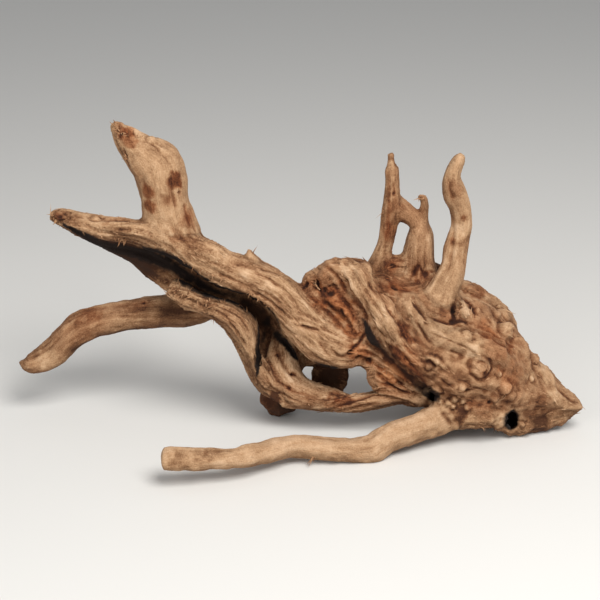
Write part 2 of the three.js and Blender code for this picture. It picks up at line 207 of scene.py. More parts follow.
def along(stations, rows):
    """The smooth line through a limb's stations: places, directions, section axes and half sizes."""
    knots = []
    for across, up, back, wide, deep in stations:
        place, scale = sighted(across, up, back)
        knots.append((*place, wide * scale, deep * scale))
    knots = np.array(knots)
    padded = np.vstack((2 * knots[0] - knots[1], knots, 2 * knots[-1] - knots[-2]))
    line = []
    for a, b, c, d in zip(padded, padded[1:], padded[2:], padded[3:]):
        for t in np.arange(rows) / rows:
            line.append(b + t / 2 * (c - a + t * (2 * a - 5 * b + 4 * c - d + t * (3 * b - 3 * c + d - a))))
    line = np.array([*line, knots[-1]])
    place, half = line[:, :3], np.maximum(line[:, 3:], 0.5)
    way = np.gradient(place, axis=0)
    way /= np.linalg.norm(way, axis=1, keepdims=True)
    deep_axis = SIGHT - (way @ SIGHT)[:, None] * way
    deep_axis /= np.linalg.norm(deep_axis, axis=1, keepdims=True)
    return place, way, np.cross(way, deep_axis), deep_axis, half


def sweep(bm, line, sides=22, flutes=3, flute_depth=0.06, twist=0.6, phase=0.0):
    """Extrudes a fluted ring along a line and closes both ends. Returns the new vertices."""
    place, way, wide_axis, deep_axis, half = line
    ring = bmesh.ops.create_circle(bm, cap_ends=True, segments=sides, radius=1)["verts"]
    for v in ring:
        v.co *= 1 + flute_depth * math.sin(flutes * math.atan2(v.co.y, v.co.x) + phase)
    edges = list({e for v in ring for e in v.link_edges})
    made, last = list(ring), Matrix.Identity(4)
    for i in range(len(place)):
        turn = Matrix.Rotation(2 * math.pi * twist / flutes * i / len(place), 4, "Z")
        columns = (wide_axis[i], deep_axis[i], way[i], place[i])
        lie = Matrix([[c[j] for c in columns] for j in range(3)] + [[0, 0, 0, 1]])
        now = lie @ Matrix.Diagonal((half[i][0], half[i][1], 1, 1)) @ turn
        if i:
            new = bmesh.ops.extrude_edge_only(bm, edges=edges)["geom"]
            ring = [g for g in new if isinstance(g, bmesh.types.BMVert)]
            held = set(ring)
            edges = [g for g in new if isinstance(g, bmesh.types.BMEdge) and held.issuperset(g.verts)]
            made += ring
        bmesh.ops.transform(bm, matrix=now @ last.inverted(), verts=ring)
        last = now
    bmesh.ops.edgeloop_fill(bm, edges=edges)
    return made


def stouter(stations, more):
    """A limb's stations with larger half sizes, for what the evening out of the skin takes away."""
    return [(across, up, back, wide + more, deep + more) for across, up, back, wide, deep in stations]


LIMBS = {
    "crown": (CROWN, dict(sides=40, flutes=5, flute_depth=0.05, twist=0.5)),
    "crown_skirt": (CROWN_SKIRT, dict(flutes=4)),
    "rear_skirt": (REAR_SKIRT, dict(flute_depth=0.1)),
    "shoulder_ridge": (SHOULDER_RIDGE, dict(phase=1)),
    "brow_ridge": (BROW_RIDGE, dict()),
    "rear_ridge": (REAR_RIDGE, dict(phase=2)),
    "valley": (VALLEY, dict()),
    "shoot_saddle": (SHOOT_SADDLE, dict(phase=1)),
    "rear_stump": (REAR_STUMP, dict(phase=2)),
    "upper_wall": (UPPER_WALL, dict(sides=26)),
    "back_wall": (BACK_WALL, dict(phase=1)),
    "lower_wall": (LOWER_WALL, dict(phase=2)),
    "bowl": (BOWL, dict(phase=3)),
    "pocket_wall": (stouter(POCKET_WALL, -1.8), dict()),
    "torn_flap": (TORN_FLAP, dict(phase=1)),
    "trunk_spur": (stouter(TRUNK_SPUR, -0.6), dict(phase=2)),
    "foot_stub": (FOOT_STUB, dict(phase=3)),
    "broken_stub": (BROKEN_STUB, dict(sides=26, flute_depth=0.05, twist=0.3)),
    "back_limb": (BACK_LIMB, dict(flute_depth=0.05)),
    "front_limb": (FRONT_LIMB, dict(flute_depth=0.05, phase=2)),
    "forked_shoot": (stouter(FORKED_SHOOT, 0.6), dict(sides=16)),
    "shoot_bridge": (SHOOT_BRIDGE, dict(sides=16, phase=1)),
    "middle_shoot": (stouter(MIDDLE_SHOOT, 0.3), dict(sides=16, phase=2)),
    "tall_shoot": (stouter(TALL_SHOOT, 0.3), dict(sides=16, phase=3)),
}


def solid_object(name, bm):
    """Puts a bmesh into a new object of the scene."""
    bmesh.ops.recalc_face_normals(bm, faces=bm.faces)
    mesh = bpy.data.meshes.new(name)
    bm.to_mesh(mesh)
    bm.free()
    made = bpy.data.objects.new(name, mesh)
    bpy.context.collection.objects.link(made)
    return made


def settle(piece):
    """Replaces a piece's mesh by what its modifiers make of it."""
    graph = bpy.context.evaluated_depsgraph_get()
    mesh = bpy.data.meshes.new_from_object(piece.evaluated_get(graph))
    piece.modifiers.clear()
    piece.data = mesh


bm = bmesh.new()
for stations, shape in LIMBS.values():
    sweep(bm, along(stations, 5), **shape)
root = solid_object("root_wood", bm)
fuse = root.modifiers.new("fuse", "REMESH")
fuse.mode, fuse.voxel_size, fuse.adaptivity = "VOXEL", VOXEL, 0
settle(root)


def skin_of(mesh):
    """A mesh as arrays in millimetres: places, links between neighbours, and their number per vertex."""
    places = np.empty(len(mesh.vertices) * 3)
    mesh.vertices.foreach_get("co", places)
    pairs = np.empty(len(mesh.edges) * 2, int)
    mesh.edges.foreach_get("vertices", pairs)
    pairs = np.vstack((pairs.reshape(-1, 2), pairs.reshape(-1, 2)[:, ::-1]))
    pairs = pairs[np.argsort(pairs[:, 0], kind="stable")]
    return places.reshape(-1, 3), pairs, np.bincount(pairs[:, 0], minlength=len(mesh.vertices))


def mean_of_neighbours(values):
    """The mean of a value over the vertices next to each vertex of the skin."""
    columns = values.reshape(len(skin), -1)
    summed = [np.bincount(links[:, 0], weights=c[links[:, 1]], minlength=len(skin)) for c in columns.T]
    return (np.array(summed).T / degree[:, None]).reshape(values.shape)


def normals():
    """Puts the skin's places into the mesh and returns its normals."""
    mesh.vertices.foreach_set("co", skin.ravel())
    mesh.update()
    found = np.empty(len(skin) * 3)
    mesh.vertex_normals.foreach_get("vector", found)
    return found.reshape(-1, 3)


def unit(vectors):
    """Vectors brought to length 1."""
    return vectors / np.maximum(np.linalg.norm(vectors, axis=1, keepdims=True), 1e-9)


# Creases between fused limbs fill up into hollow fillets.
mesh = root.data
skin, links, degree = skin_of(mesh)
for step in range(90):
    if step % 10 == 0:
        out = normals()
    pull = mean_of_neighbours(skin) - skin
    rise = np.sum(pull * out, axis=1)
    skin += 0.5 * np.maximum(rise, 0)[:, None] * out
normals()

# The slit, the gully and the caves are cut with torn edges, and the cut skin is evened out a little.
noise.seed_set(4)
bm = bmesh.new()
for stations in [SLIT, SLIT_BRANCH, GULLY, *CAVES]:
    for v in sweep(bm, along(stations, 9), sides=18, flute_depth=0):
        tear = noise.noise_vector(v.co / 4.5) + 0.6 * noise.noise_vector(v.co / 2.0)
        v.co += Vector((1.6 * tear.x, 0, 2.0 * tear.z))
hollows = solid_object("hollows", bm)
carve = root.modifiers.new("carve", "BOOLEAN")
carve.operation, carve.object, carve.solver = "DIFFERENCE", hollows, "MANIFOLD"
fuse = root.modifiers.new("fuse", "REMESH")
fuse.mode, fuse.voxel_size, fuse.adaptivity = "VOXEL", VOXEL, 0
settle(root)
bpy.data.objects.remove(hollows)
mesh = root.data
skin, links, degree = skin_of(mesh)
count = len(skin)
for step in range(3):
    skin += 0.5 * (mean_of_neighbours(skin) - skin)
    skin -= 0.52 * (mean_of_neighbours(skin) - skin)
out = normals()

# Grain: the limbs round each vertex give the way its fibres run, and its place in the straightened limb.
GRAIN_STRETCH = 8.0
grain = np.zeros((count, 3))
grain_weight = np.zeros(count)
pull = np.zeros((count, 3, 3))
heading = np.zeros((count, 3))
share_of = {}
for name, (stations, shape) in LIMBS.items():
    place, way, wide_axis, deep_axis, half = along(stations, 8)
    run = np.concatenate(([0], np.cumsum(np.linalg.norm(np.diff(place, axis=0), axis=1))))
    margin = half.max() + 14
    close = np.flatnonzero(np.all((skin > place.min(0) - margin) & (skin < place.max(0) + margin), axis=1))
    near = np.empty(len(close), int)
    for some in np.array_split(np.arange(len(close)), 1 + len(close) // 8000):
        near[some] = ((skin[close[some], None] - place[None]) ** 2).sum(axis=2).argmin(axis=1)
    offset = skin[close] - place[near]
    x, y, s = [np.sum(offset * axis[near], axis=1) for axis in (wide_axis, deep_axis, way)]
    size = half[near].mean(axis=1)
    reach = np.sqrt((x / half[near, 0]) ** 2 + (y / half[near, 1]) ** 2 + (s / size) ** 2)
    weight = np.exp(-np.maximum(reach - 1, 0) * size / 2.5)
    share_of[name] = np.zeros(count)
    share_of[name][close] = weight
    grain[close] += weight[:, None] ** 4 * np.stack((x, y, (run[near] + s) / GRAIN_STRETCH), axis=1)
    grain_weight[close] += weight ** 4
    pull[close] += (weight ** 2)[:, None, None] * way[near][:, :, None] * way[near][:, None, :]
    heading[close] += (weight ** 2)[:, None] * way[near]
grain /= np.maximum(grain_weight, 1e-9)[:, None]
total = np.maximum(sum(share_of.values()), 1e-9)
share_of = {name: share / total for name, share in share_of.items()}


def roughly(points, seed=0):
    """Smooth random values from about -1 to 1 over points whose unit is one bump."""
    cell = np.floor(points).astype(np.int64)
    t = points - cell
    t = t * t * t * (t * (6 * t - 15) + 10)
    value = np.zeros(len(points))
    for corner in np.ndindex(2, 2, 2):
        c = cell + corner
        h = (c[:, 0] * 374761393 + c[:, 1] * 668265263 + c[:, 2] * 1274126177 + seed * 974711) & 0xFFFFFFFF
        h = ((h ^ (h >> 13)) * 1103515245) & 0xFFFFFFFF
        h = ((h ^ (h >> 16)) * 2654435761) & 0xFFFFFFFF
        w = np.prod(np.where(np.array(corner), t, 1 - t), axis=1)
        value += w * (((h >> 8) & 0xFFFF) / 32767.5 - 1)
    return value


# Marks on the front, placed on the view and carried on to the skin: (line, half width, rise, red, painted
# shade). The last column paints shade into grooves, hollows and places in shade, and a painted highlight on
# raised ridges where it is negative.
FURROWS = [
    # trunk
    ([(-1.6, -20), (7.2, -22.4), (18.4, -24.8)], 1.3, -2.2, 0.1, 0.6),
    ([(-3.2, -17.6), (10.4, -20.8)], 1.2, 1.0, 0.0, -0.3),
    ([(4.8, 6.4), (17.6, -4.8), (30.4, -17.6), (40, -28.8)], 1.6, -1.2, 0.7, 0.2),
    ([(14.4, 1.6), (25.6, -6.4), (36.8, -17.6)], 1.3, -1.0, 0.7, 0.2),
    ([(20.8, 0), (32, -1.6), (40, -9.6), (44.8, -20)], 1.4, -1.1, 0.8, 0.25),
    ([(36, -2.4), (41.6, -12.8), (41.6, -22.4)], 1.2, -1.3, 0.8, 0.3),
    ([(40, 1.6), (49.6, -8), (53.6, -17.6)], 1.8, -1.6, 0.4, 0.35),
    ([(52.8, -24.8), (48, -33.6), (41.6, -40), (36, -45.6)], 1.5, -3.4, 0.6, 0.9),
    ([(36, -24), (44.8, -28.8), (51.2, -24.8)], 1.6, -0.8, 0.6, 0.1),
    ([(24, -36), (30.4, -44.8), (37.6, -48)], 1.4, -1.0, 0.3, 0.2),
    ([(14.4, -32), (20.8, -41.6), (25.6, -46.4)], 1.1, -1.0, 0.3, 0.3),
    ([(-102.4, 54.4), (-97.6, 44), (-89.6, 33.6)], 2.2, -0.7, 0.2, 0.0),
    ([(-38.4, 23.2), (-25.6, 17.6), (-16, 10.4)], 1.2, -1.2, 0.1, 0.4),
    ([(-56, 30.4), (-40, 25.6), (-22.4, 22.4)], 1.1, -0.9, 0.1, 0.3),
    ([(-68, 20), (-52, 15.2), (-38.4, 9.6)], 1.1, -0.9, 0.1, 0.3),
    ([(-30.4, 12), (-16, 3.2), (-4.8, -9.6)], 1.2, -0.9, 0.1, 0.3),
    ([(-76, 30.4), (-60, 27.2), (-45.6, 20)], 1.0, -0.8, 0.1, 0.3),
    # lower wall and bowl
    ([(-76, -2.4), (-59.2, -12.8), (-48, -28.8), (-40, -41.6)], 1.2, -1.3, 0.1, 0.4),
    ([(-62.4, -5.6), (-48, -14.4), (-38.4, -28)], 1.1, -1.0, 0.1, 0.4),
    ([(-88, 5.6), (-76, 0.8), (-62.4, -2.4)], 1.4, -1.6, 0.2, 0.5),
    ([(-94.4, 3.2), (-83.2, -2.4), (-72, -8)], 1.2, -1.2, 0.1, 0.3),
    ([(-30.4, -57.6), (-22.4, -70.4), (-8, -79.2), (4, -83.2)], 1.4, -1.4, 0.1, 0.4),
    ([(-25.6, -49.6), (-18.4, -64), (-6.4, -72.8), (9.6, -76.8)], 1.2, -1.2, 0.2, 0.3),
    ([(-19.2, -41.6), (-12, -56), (-1.6, -67.2)], 1.2, -1.0, 0.1, 0.2),
    ([(-7.2, -58.4), (-2.4, -60)], 1.3, -2.0, 0.3, 0.7),
    # painted shade: a dark stroke with no relief along the slit's lower edge, where the hollow lies in
    # shade
    ([(-49.6, 0.8), (-38.4, -6.4), (-30.4, -14.4), (-24.8, -24)], 4.5, 0.0, -0.3, 2.0),
    # strip and flap
    ([(17.6, -83.2), (36, -78.4), (52.8, -72), (70.4, -68.8)], 1.2, 1.5, 0.0, -0.4),
    ([(24, -88), (41.6, -81.6), (57.6, -76.8), (76.8, -75.2)], 1.0, -1.5, 0.2, 0.7),
    ([(32, -88.8), (49.6, -84), (67.2, -81.6)], 0.9, -1.2, 0.2, 0.6),
    ([(62.4, -67.2), (73.6, -68.8), (82.4, -72.8), (91.2, -75.2)], 1.2, -2.4, 0.5, 0.9),
    ([(56.8, -49.6), (67.2, -57.6), (76.8, -65.6), (86.4, -70.4)], 1.2, -1.8, 0.7, 0.5),
    ([(61.6, -46.4), (73.6, -52.8), (83.2, -60.8), (94.4, -72)], 1.3, 1.4, 0.3, -0.2),
    ([(60.8, -56.8), (68.8, -62.4), (76.8, -68)], 1.0, -1.4, 0.6, 0.5),
    ([(41.6, -38.4), (49.6, -41.6), (59.2, -43.2)], 1.6, -1.6, 0.7, 0.4),
    ([(46.4, -48), (51.2, -47.2)], 1.6, -2.2, 0.5, 0.8),
    ([(52, -50.4), (57.6, -50.4)], 1.6, -2.2, 0.5, 0.8),
    ([(73.6, -36), (81.6, -44.8), (92.8, -57.6), (104, -70.4)], 3.0, -1.5, 0.6, 0.5),
    ([(59.2, -33.6), (68, -44), (76.8, -52), (86.4, -60), (96, -70.4)], 4.0, -2.2, 0.4, 1.4),
    ([(57.6, -44), (67.2, -52.8), (76.8, -60.8), (88, -70.4)], 1.4, 1.6, 0.2, -0.4),
    # the shoulder, whose grain runs down from its rim
    ([(9.6, 21.6), (14.4, 15.2), (18.4, 7.2)], 1.6, -0.8, 0.2, 0.3),
    ([(16, 26.4), (22.4, 17.6), (30.4, 4.8)], 1.8, 0.9, 0.0, -0.1),
    ([(21.6, 28.8), (29.6, 18.4), (40, 1.6)], 1.4, -1.3, 0.2, 0.4),
    ([(29.6, 31.2), (38.4, 18.4), (48.8, 0.8)], 2.4, 1.2, -0.1, -0.2),
    ([(36.8, 31.2), (45.6, 18.4), (56, 1.6), (65.6, -11.2)], 1.4, -1.0, 0.1, 0.3),
    ([(46.4, 29.6), (53.6, 16), (64, -0.8)], 1.8, -0.8, 0.2, 0.2),
    # the lobe beside the gully
    ([(57.6, 0), (67.2, -14.4), (78.4, -33.6)], 5.0, 1.4, -0.3, -0.1),
    ([(78.4, -15.2), (83.2, -24), (88.8, -32.8)], 3.0, -2.6, 0.8, 0.35),
    ([(88.8, 0), (92, -4), (99.2, -14.4), (101.6, -22.4)], 1.4, -2.4, 0.3, 0.8),
    ([(83.2, 0), (89.6, -12.8), (96, -27.2), (102.4, -36.8)], 1.6, 1.2, 0.0, -0.2),
    ([(91.2, -14.4), (97.6, -24), (102.4, -32.8)], 1.0, -1.4, 0.4, 0.5),
    ([(70.4, -6.4), (73.6, -12), (76.8, -14.4)], 1.2, -1.2, 0.4, 0.5),
    ([(81.6, -33.6), (88, -41.6), (94.4, -44.8)], 1.4, -1.4, 0.6, 0.5),
    # crown
    ([(99.2, -17.6), (116.8, -24), (132, -32), (145.6, -41.6), (161.6, -52.8)], 4.0, 1.9, -0.2, -0.1),
    ([(99.2, -24), (116.8, -31.2), (132.8, -37.6), (144, -44.8)], 1.1, -0.9, 0.1, 0.4),
    ([(118.4, -39.2), (124.8, -42.4), (132, -45.6)], 1.0, -1.3, 0.2, 0.6),
    ([(96, -47.2), (104, -46.4), (112, -51.2), (118.4, -56)], 1.4, 1.6, -0.1, -0.3),
    ([(96, -49.6), (104, -49.6), (109.6, -53.6)], 1.0, -1.4, 0.3, 0.7),
    ([(136, -70.4), (144, -71.2), (152, -74.4)], 1.8, -1.6, 0.2, 0.4),
    ([(126.4, -72.8), (132.8, -73.6), (139.2, -72)], 1.5, -1.8, 0.2, 0.7),
    ([(124.8, -0.8), (122.4, -9.6), (124, -16.8), (135.2, -18.4)], 2.0, -4.0, 0.3, 1.3),
    ([(127.2, 0.8), (130.4, -6.4), (133.6, -15.2)], 2.8, 4.2, -0.4, -1.0),
    ([(132.8, 1.6), (136.8, -3.2), (138.4, -8.8)], 2.6, -2.0, 0.5, 0.9),
    ([(104, -15.2), (112, -17.6), (120.8, -20)], 1.4, -1.8, 0.4, 0.6),
    ([(136, -1.6), (139.2, -9.6), (139.2, -17.6)], 1.2, -1.2, 0.3, 0.5),
    ([(140.8, -24), (152, -26.4), (164, -33.6), (177.6, -41.6)], 1.0, -0.8, 0.3, 0.3),
    ([(142.4, -28.8), (153.6, -32.8), (168, -41.6)], 1.0, -0.7, 0.3, 0.3),
    ([(160, -89.6), (163.2, -94.4), (159.2, -102.4)], 2.6, 2.0, -0.4, -0.4),
    ([(140, -98.4), (148.8, -100), (156.8, -101.6)], 1.0, -1.2, 0.1, 0.5),
    ([(192, -49.6), (197.6, -62.4), (206.4, -76.8), (212.8, -86.4)], 4.0, 0.8, -0.4, -0.1),
    ([(204.8, -70.4), (212.8, -76.8), (222.4, -83.2)], 1.2, -1.0, 0.3, 0.4),
    ([(112.8, -88), (117.6, -94.4), (121.6, -100.8)], 2.0, -1.5, 0.4, 0.9),
    ([(112, -62.4), (116.8, -67.2), (124.8, -68.8)], 1.2, -1.2, 0.2, 0.5),
    ([(144, -43.2), (151.2, -47.2), (152.8, -54.4), (148.8, -61.6), (141.6, -63.2), (136, -58.4),
      (135.2, -50.4)], 1.1, -1.7, 0.2, 0.6),
    ([(140, -50.4), (144.8, -48), (148.8, -52), (147.2, -57.6), (142.4, -57.6)], 1.0, -1.4, 0.2, 0.6),
    ([(99.2, -45.6), (104.8, -45.6), (110.4, -49.6), (109.6, -55.2),
      (104.8, -56.8)], 1.3, 1.4, -0.2, -0.3),
    # painted shade: the back wall's front under the slit's rim, which lies in shade
    ([(-187.2, 56), (-166.4, 47.2), (-145.6, 38.4), (-126.4, 28.8), (-109.6, 16)], 8.0, 0.0, 0.0, 1.6),
    # painted shade: the skirt under the crown's overhang
    ([(179.2, -96), (188, -97.6), (198.4, -96.8), (208, -93.6)], 7.0, 0.0, -0.3, 0.4),
    ([(167.2, -32.8), (174.4, -33.6), (180.8, -36)], 4.0, -2.5, 0.1, 0.0),
    # painted shade: the foot stub where it lies under the bowl
    ([(-19.2, -81.6), (-12.8, -84.8), (-4.8, -87.2)], 6.0, 0.0, 0.0, 1.8),
    ([(59.2, 12.8), (73.6, 8.8), (91.2, 10.4)], 6.0, -2.6, 0.3, 0.15),
    # painted shade: the pocket wall seen through the window in the bowl, which lies in deep shade
    ([(14.4, -59.2), (24, -61.6), (33.6, -64)], 14.0, 0.0, -0.5, 2.4),
    ([(59.2, -52.8), (72, -61.6), (86.4, -72.8)], 1.6, 2.0, 0.3, -0.2),
    ([(64.8, -48.8), (76.8, -56), (89.6, -66.4)], 1.6, 1.8, 0.3, -0.2),
    ([(59.2, -58.4), (70.4, -66.4), (81.6, -73.6)], 1.5, -2.4, 0.5, 0.7),
    # painted shade: the back limb's right part, where the lower wall shades it
    ([(-116, -9.6), (-100, -10.4), (-81.6, -12.8)], 10.0, 0.0, 0.0, 0.8),
    # a shallow groove, painted darker as shade along the front limb's upper edge
    ([(-88, -121.6), (-68, -121.6), (-48, -120.8)], 3.0, -0.4, 0.2, 0.35),
    # stub, limbs and shoots
    ([(-120, 125.6), (-115.2, 121.6), (-111.2, 117.6)], 1.0, -1.4, 0.3, 0.7),
    ([(-143.2, 142.4), (-144.8, 134.4), (-142.4, 128)], 1.2, -1.6, 0.4, 0.6),
    ([(-141.6, 121.6), (-140, 112), (-135.2, 104)], 1.6, -1.3, 0.4, 0.4),
    ([(-92.8, 78.4), (-91.2, 68.8), (-88, 59.2)], 2.4, -1.0, 0.6, 0.1),
    ([(70.4, 102.4), (71.2, 80), (70.4, 57.6), (68, 41.6)], 1.5, -0.9, 0.4, 0.2),
    ([(75.2, 94.4), (76, 83.2)], 1.1, -1.2, 0.4, 0.5),
    ([(119.2, 99.2), (120, 88), (124.8, 78.4)], 1.4, -0.9, 0.2, 0.3),
    ([(121.6, 54.4), (121.6, 40), (118.4, 30.4)], 2.0, -0.7, 0.1, -0.2),
    ([(94.4, 29.6), (92.8, 24), (89.6, 19.2)], 1.7, -1.4, 0.6, 0.8),
    ([(94.4, 29.6), (96.8, 24), (100.8, 18.4)], 1.5, -1.4, 0.6, 0.8),
    ([(100.8, 18.4), (103.2, 23.2), (107.2, 21.6)], 1.3, -1.2, 0.5, 0.7),
]
# Burl knots as (across, up, radius, rise), and rot pits as (across, up, radius, depth).
KNOTS = [
    (144.8, -52.8, 10.5, 3.4), (159.2, -59.2, 2.8, 2.3), (130.4, -69.6, 4, 3.1),
    (109.6, -71.2, 5.2, 2.9), (155.2, -78.4, 3.6, 2.9), (103.2, -52.8, 3.4, 2.3),
    (109.6, -48.8, 3.4, 2.1), (112.8, -81.6, 2.4, 2.1), (118.4, -82.4, 2.8, 2.6),
    (124, -79.2, 3.2, 2.6), (130.4, -80.8, 2.8, 2.3), (122.4, -84.8, 2.6, 2.3), (133.6, -86.4, 3, 2.3),
    (164.8, -69.6, 5.6, 2.6), (169.6, -76, 4.4, 2.1), (124.8, -99.2, 4.2, 2.9),
    (157.6, -11.2, 4.6, 2.6), (163.2, -22.4, 5.4, 2.9), (167.2, -23.2, 1.8, 1.3),
    (133.6, -28.8, 5.4, 2.1), (141.6, -8, 3.6, 2.3), (162.4, -12.8, 8, 4.4), (165.6, -24.8, 8, 4.4),
    (187.2, -46.4, 7, 2.6), (128.8, -19.2, 3.4, 2.1), (152.8, -96, 3.4, 1.6), (177.6, -99.2, 2.6, 2.1),
    (184.8, -63.2, 3, 1.3), (-194.4, 67.2, 6, 2), (-190.4, 72, 4, 1.3), (-163.2, 66.4, 4.6, 1.3),
    (-118.4, 128, 4.5, 2), (159.2, -4.8, 2.2, 1.8), (36.8, -9.6, 3.4, 1.3),
]
PITS = [
    (4, 12, 2.4, 3.2), (12.8, 12.8, 3.2, 3.6), (16, 8, 1.2, 1.6), (20, 8, 2, 2.4), (24, 4.8, 2.6, 2.8),
    (33.6, -8.8, 2, 2.2), (35.2, -12.8, 1.8, 2.2), (64.8, 6.4, 1.8, 3), (76, 11.2, 3.2, 3.6),
    (74.4, 27.2, 2.2, 1.8), (147.2, -59.2, 2.2, 1.8), (124, -7.2, 2, 3), (121.6, -17.6, 2.4, 2.8),
    (-192, 66.4, 1.6, 1.4), (-124.8, -2.4, 1.4, 1.4), (-96.8, 86.4, 1.5, 1.4),
    (-142.4, 132.8, 1.4, 1.4), (-18.4, -44, 1.2, 1.4), (-8.8, -70.4, 1.4, 1.4), (-6.4, -59.2, 1.4, 1.8),
    (75.2, 84.8, 1.4, 1.4), (151.2, -81.6, 1.6, 1.8), (-21.6, -79.2, 3.2, 2.6), (40.8, -43.2, 2.6, 3),
    (48, -47.2, 2.4, 3), (55.2, -48, 2, 2.6),
]
# Stains and bleached places as (across, up, radius, tone, red). Some patches are painted shade where a part
# lies in shade: the foot stub under the bowl, the front limb's upper edge, the skirt under the crown's
# overhang and the inner face of the bowl. Patches with no red lighten or darken whole regions, partly the
# wood's own tone and partly painted light and shade.
PATCHES = [
    (-136, 128, 6.5, -0.3, 0.8), (-100, 96, 7, -1.15, 1), (-120, 75.2, 5.5, -0.7, 0.9),
    (-121.6, 86.4, 6.5, -0.5, 0.8), (-89.6, 64, 8, -0.5, 0.45), (-99.2, 49.6, 6.5, -0.3, 0.3),
    (-144, 136, 7, -0.4, 0.4), (-136.8, 135.2, 5, -0.4, 0.8), (-122.4, 108, 9, 0.25, -0.1),
    (-116, 64, 9, 0.1, -0.1), (-182.4, 68.8, 7, -0.25, 0.1), (-154.4, 62.4, 3.5, -0.35, 0.2),
    (-163.2, 66.4, 2.4, -0.4, 0.2), (41.6, -25.6, 6, 0, 0.6), (28, 2.4, 12, 0.1, 0.5),
    (34.4, -8, 9, 0.1, 0.6), (14.4, -4, 8, 0.1, 0.3), (48, -43.2, 9, 0, 0.6), (68, 20, 10, -0.25, 0.3),
    (82.4, 12, 11, -0.25, 0.35), (96, 20.8, 8, -0.2, 0.3), (74.4, 29.6, 7, -0.4, 0.4),
    (64, -16, 9, 0.3, -0.3), (83.2, -24.8, 6, -0.5, 0.6), (112, -26.4, 9, 0.35, -0.2),
    (124, -30.4, 8, 0.3, -0.2), (76.8, -57.6, 10, 0.3, 0.5), (84, -49.6, 9, 0.1, 0.5),
    (200, -64, 6, 0.65, -0.4), (204, -76, 6, 0.6, -0.4), (212.8, -87.2, 4, 0.1, 0),
    (194.4, -52.8, 5, 0.65, -0.4), (184.8, -61.6, 2.6, 0.6, -0.4), (169.6, -57.6, 12, 0, 0.4),
    (157.6, -36, 14, 0, 0.4), (148, -24, 9, 0, 0.4), (144, -86.4, 9, -0.1, 0.4),
    (160, -96, 4, 0.5, -0.3), (136, -80, 7, 0.1, 0.1), (72, 108, 3.4, 0.6, -0.4),
    (72, 54.4, 7, -0.3, 0.3), (76.8, 76, 6, -0.3, 0.3), (129.6, 114.4, 4, 0.5, -0.3),
    (129.6, 56, 7, 0.3, -0.1), (112, 6.4, 11, 0.2, -0.1), (100, 0, 6, -0.2, 0.2),
    (140, 5.6, 9, -0.4, 0.3), (116, -12, 6, -0.4, 0.4), (-168, -9.6, 10, -0.3, 0.35),
    (-176, -24, 8, -0.2, 0.1), (-128, -2.4, 9, -0.3, 0.3), (-192, 67.2, 5, -0.5, 0.1),
    (-136, -14.4, 10, 0.02, -0.1), (-200, -48, 9, 0.35, -0.1), (-160, 62.4, 12, 0.5, 0),
    (24, -40, 10, 0.12, 0), (-68, -8, 10, -0.35, 0), (-44, -28, 12, 0.28, 0), (-12, -56, 10, 0.37, 0),
    (73.6, -57.6, 8, 0.97, 0), (36, 20, 10, 0.44, 0), (60, -8, 10, 0.42, 0), (104, -36, 12, -0.05, 0),
    (120, -64, 12, -0.2, 0.1), (216, -81.6, 8, -0.14, 0), (-208, -48, 8, 0.3, 0),
    (-120, 108, 10, -0.21, 0), (124, 88, 7, -0.3, 0.2), (131.2, 65.6, 2.2, -0.6, 0.6),
    (121.6, 47.2, 3.2, -0.5, 0.4), (20, 5.6, 5, -0.46, 0), (-26.4, -80, 8, -0.5, 0.3),
    (28, -84, 7, -0.1, 0.4), (88, -32, 4, -0.9, 0.4), (192, -80, 5, -0.5, 0.1),
    (136, -40, 7, 0.85, -0.1), (-24, 8, 7, 0.6, 0), (-48, 20, 7, 0.5, 0), (-88, 48, 7, -0.5, 0.2),
    (-104, 80, 6, -0.75, 0.4), (36, -36, 6, -0.35, 0.1), (8, -80, 6, -0.4, 0.1),
    (80, -76.8, 4, 0.4, 0.1), (128, -92, 7, -1.1, 0.3), (160, -80, 4, 0.5, 0), (20, 20, 5, -0.3, 0.1),
    # the last two patches here: the inner face of the bowl, partly its brown wood and partly painted shade
    (-76, 0, 5, -0.5, 0.1), (30.4, -76.8, 6.5, -0.8, 0.4), (36.8, -80, 4.5, -0.9, 0.4),
    (75.2, -41.6, 6, -0.9, 0.4), (91.2, -70.4, 3, 0.7, 0.1), (84, 20, 6, 0.8, 0),
    (68, 16, 6, -0.65, 0.2), (-196.8, 66.4, 4, -0.7, 0.2), (-96, -129.6, 8, -0.7, 0.1),
    # painted shade: the first patch here darkens the front limb's upper edge, the other two the foot stub
    # under the bowl
    (-80, -123.2, 6, -0.4, 0.1), (-15.2, -82.4, 4.5, -1.4, 0), (-20, -78.4, 5, -2, 0),
    # painted shade: the third patch here darkens the skirt under the crown's overhang
    (-64, -132, 5, 0.6, 0), (76, 24, 5, 0.45, 0), (192, -100.8, 7, -0.8, 0), (60, -33.6, 4, -0.8, 0.6),
    (88, -60, 4, 0.6, 0.5), (20, 5.6, 3, -0.6, 0.5), (124, 40, 5, 0.7, 0), (124.8, 54.4, 7, 0.9, 0),
    # painted shade: the second patch here darkens the front limb's upper edge
    (102.4, 24.8, 3.5, 0.5, -0.2), (-68.8, -120, 7, -0.6, 0.1), (96, -36, 8, -0.1, 0.2),
]
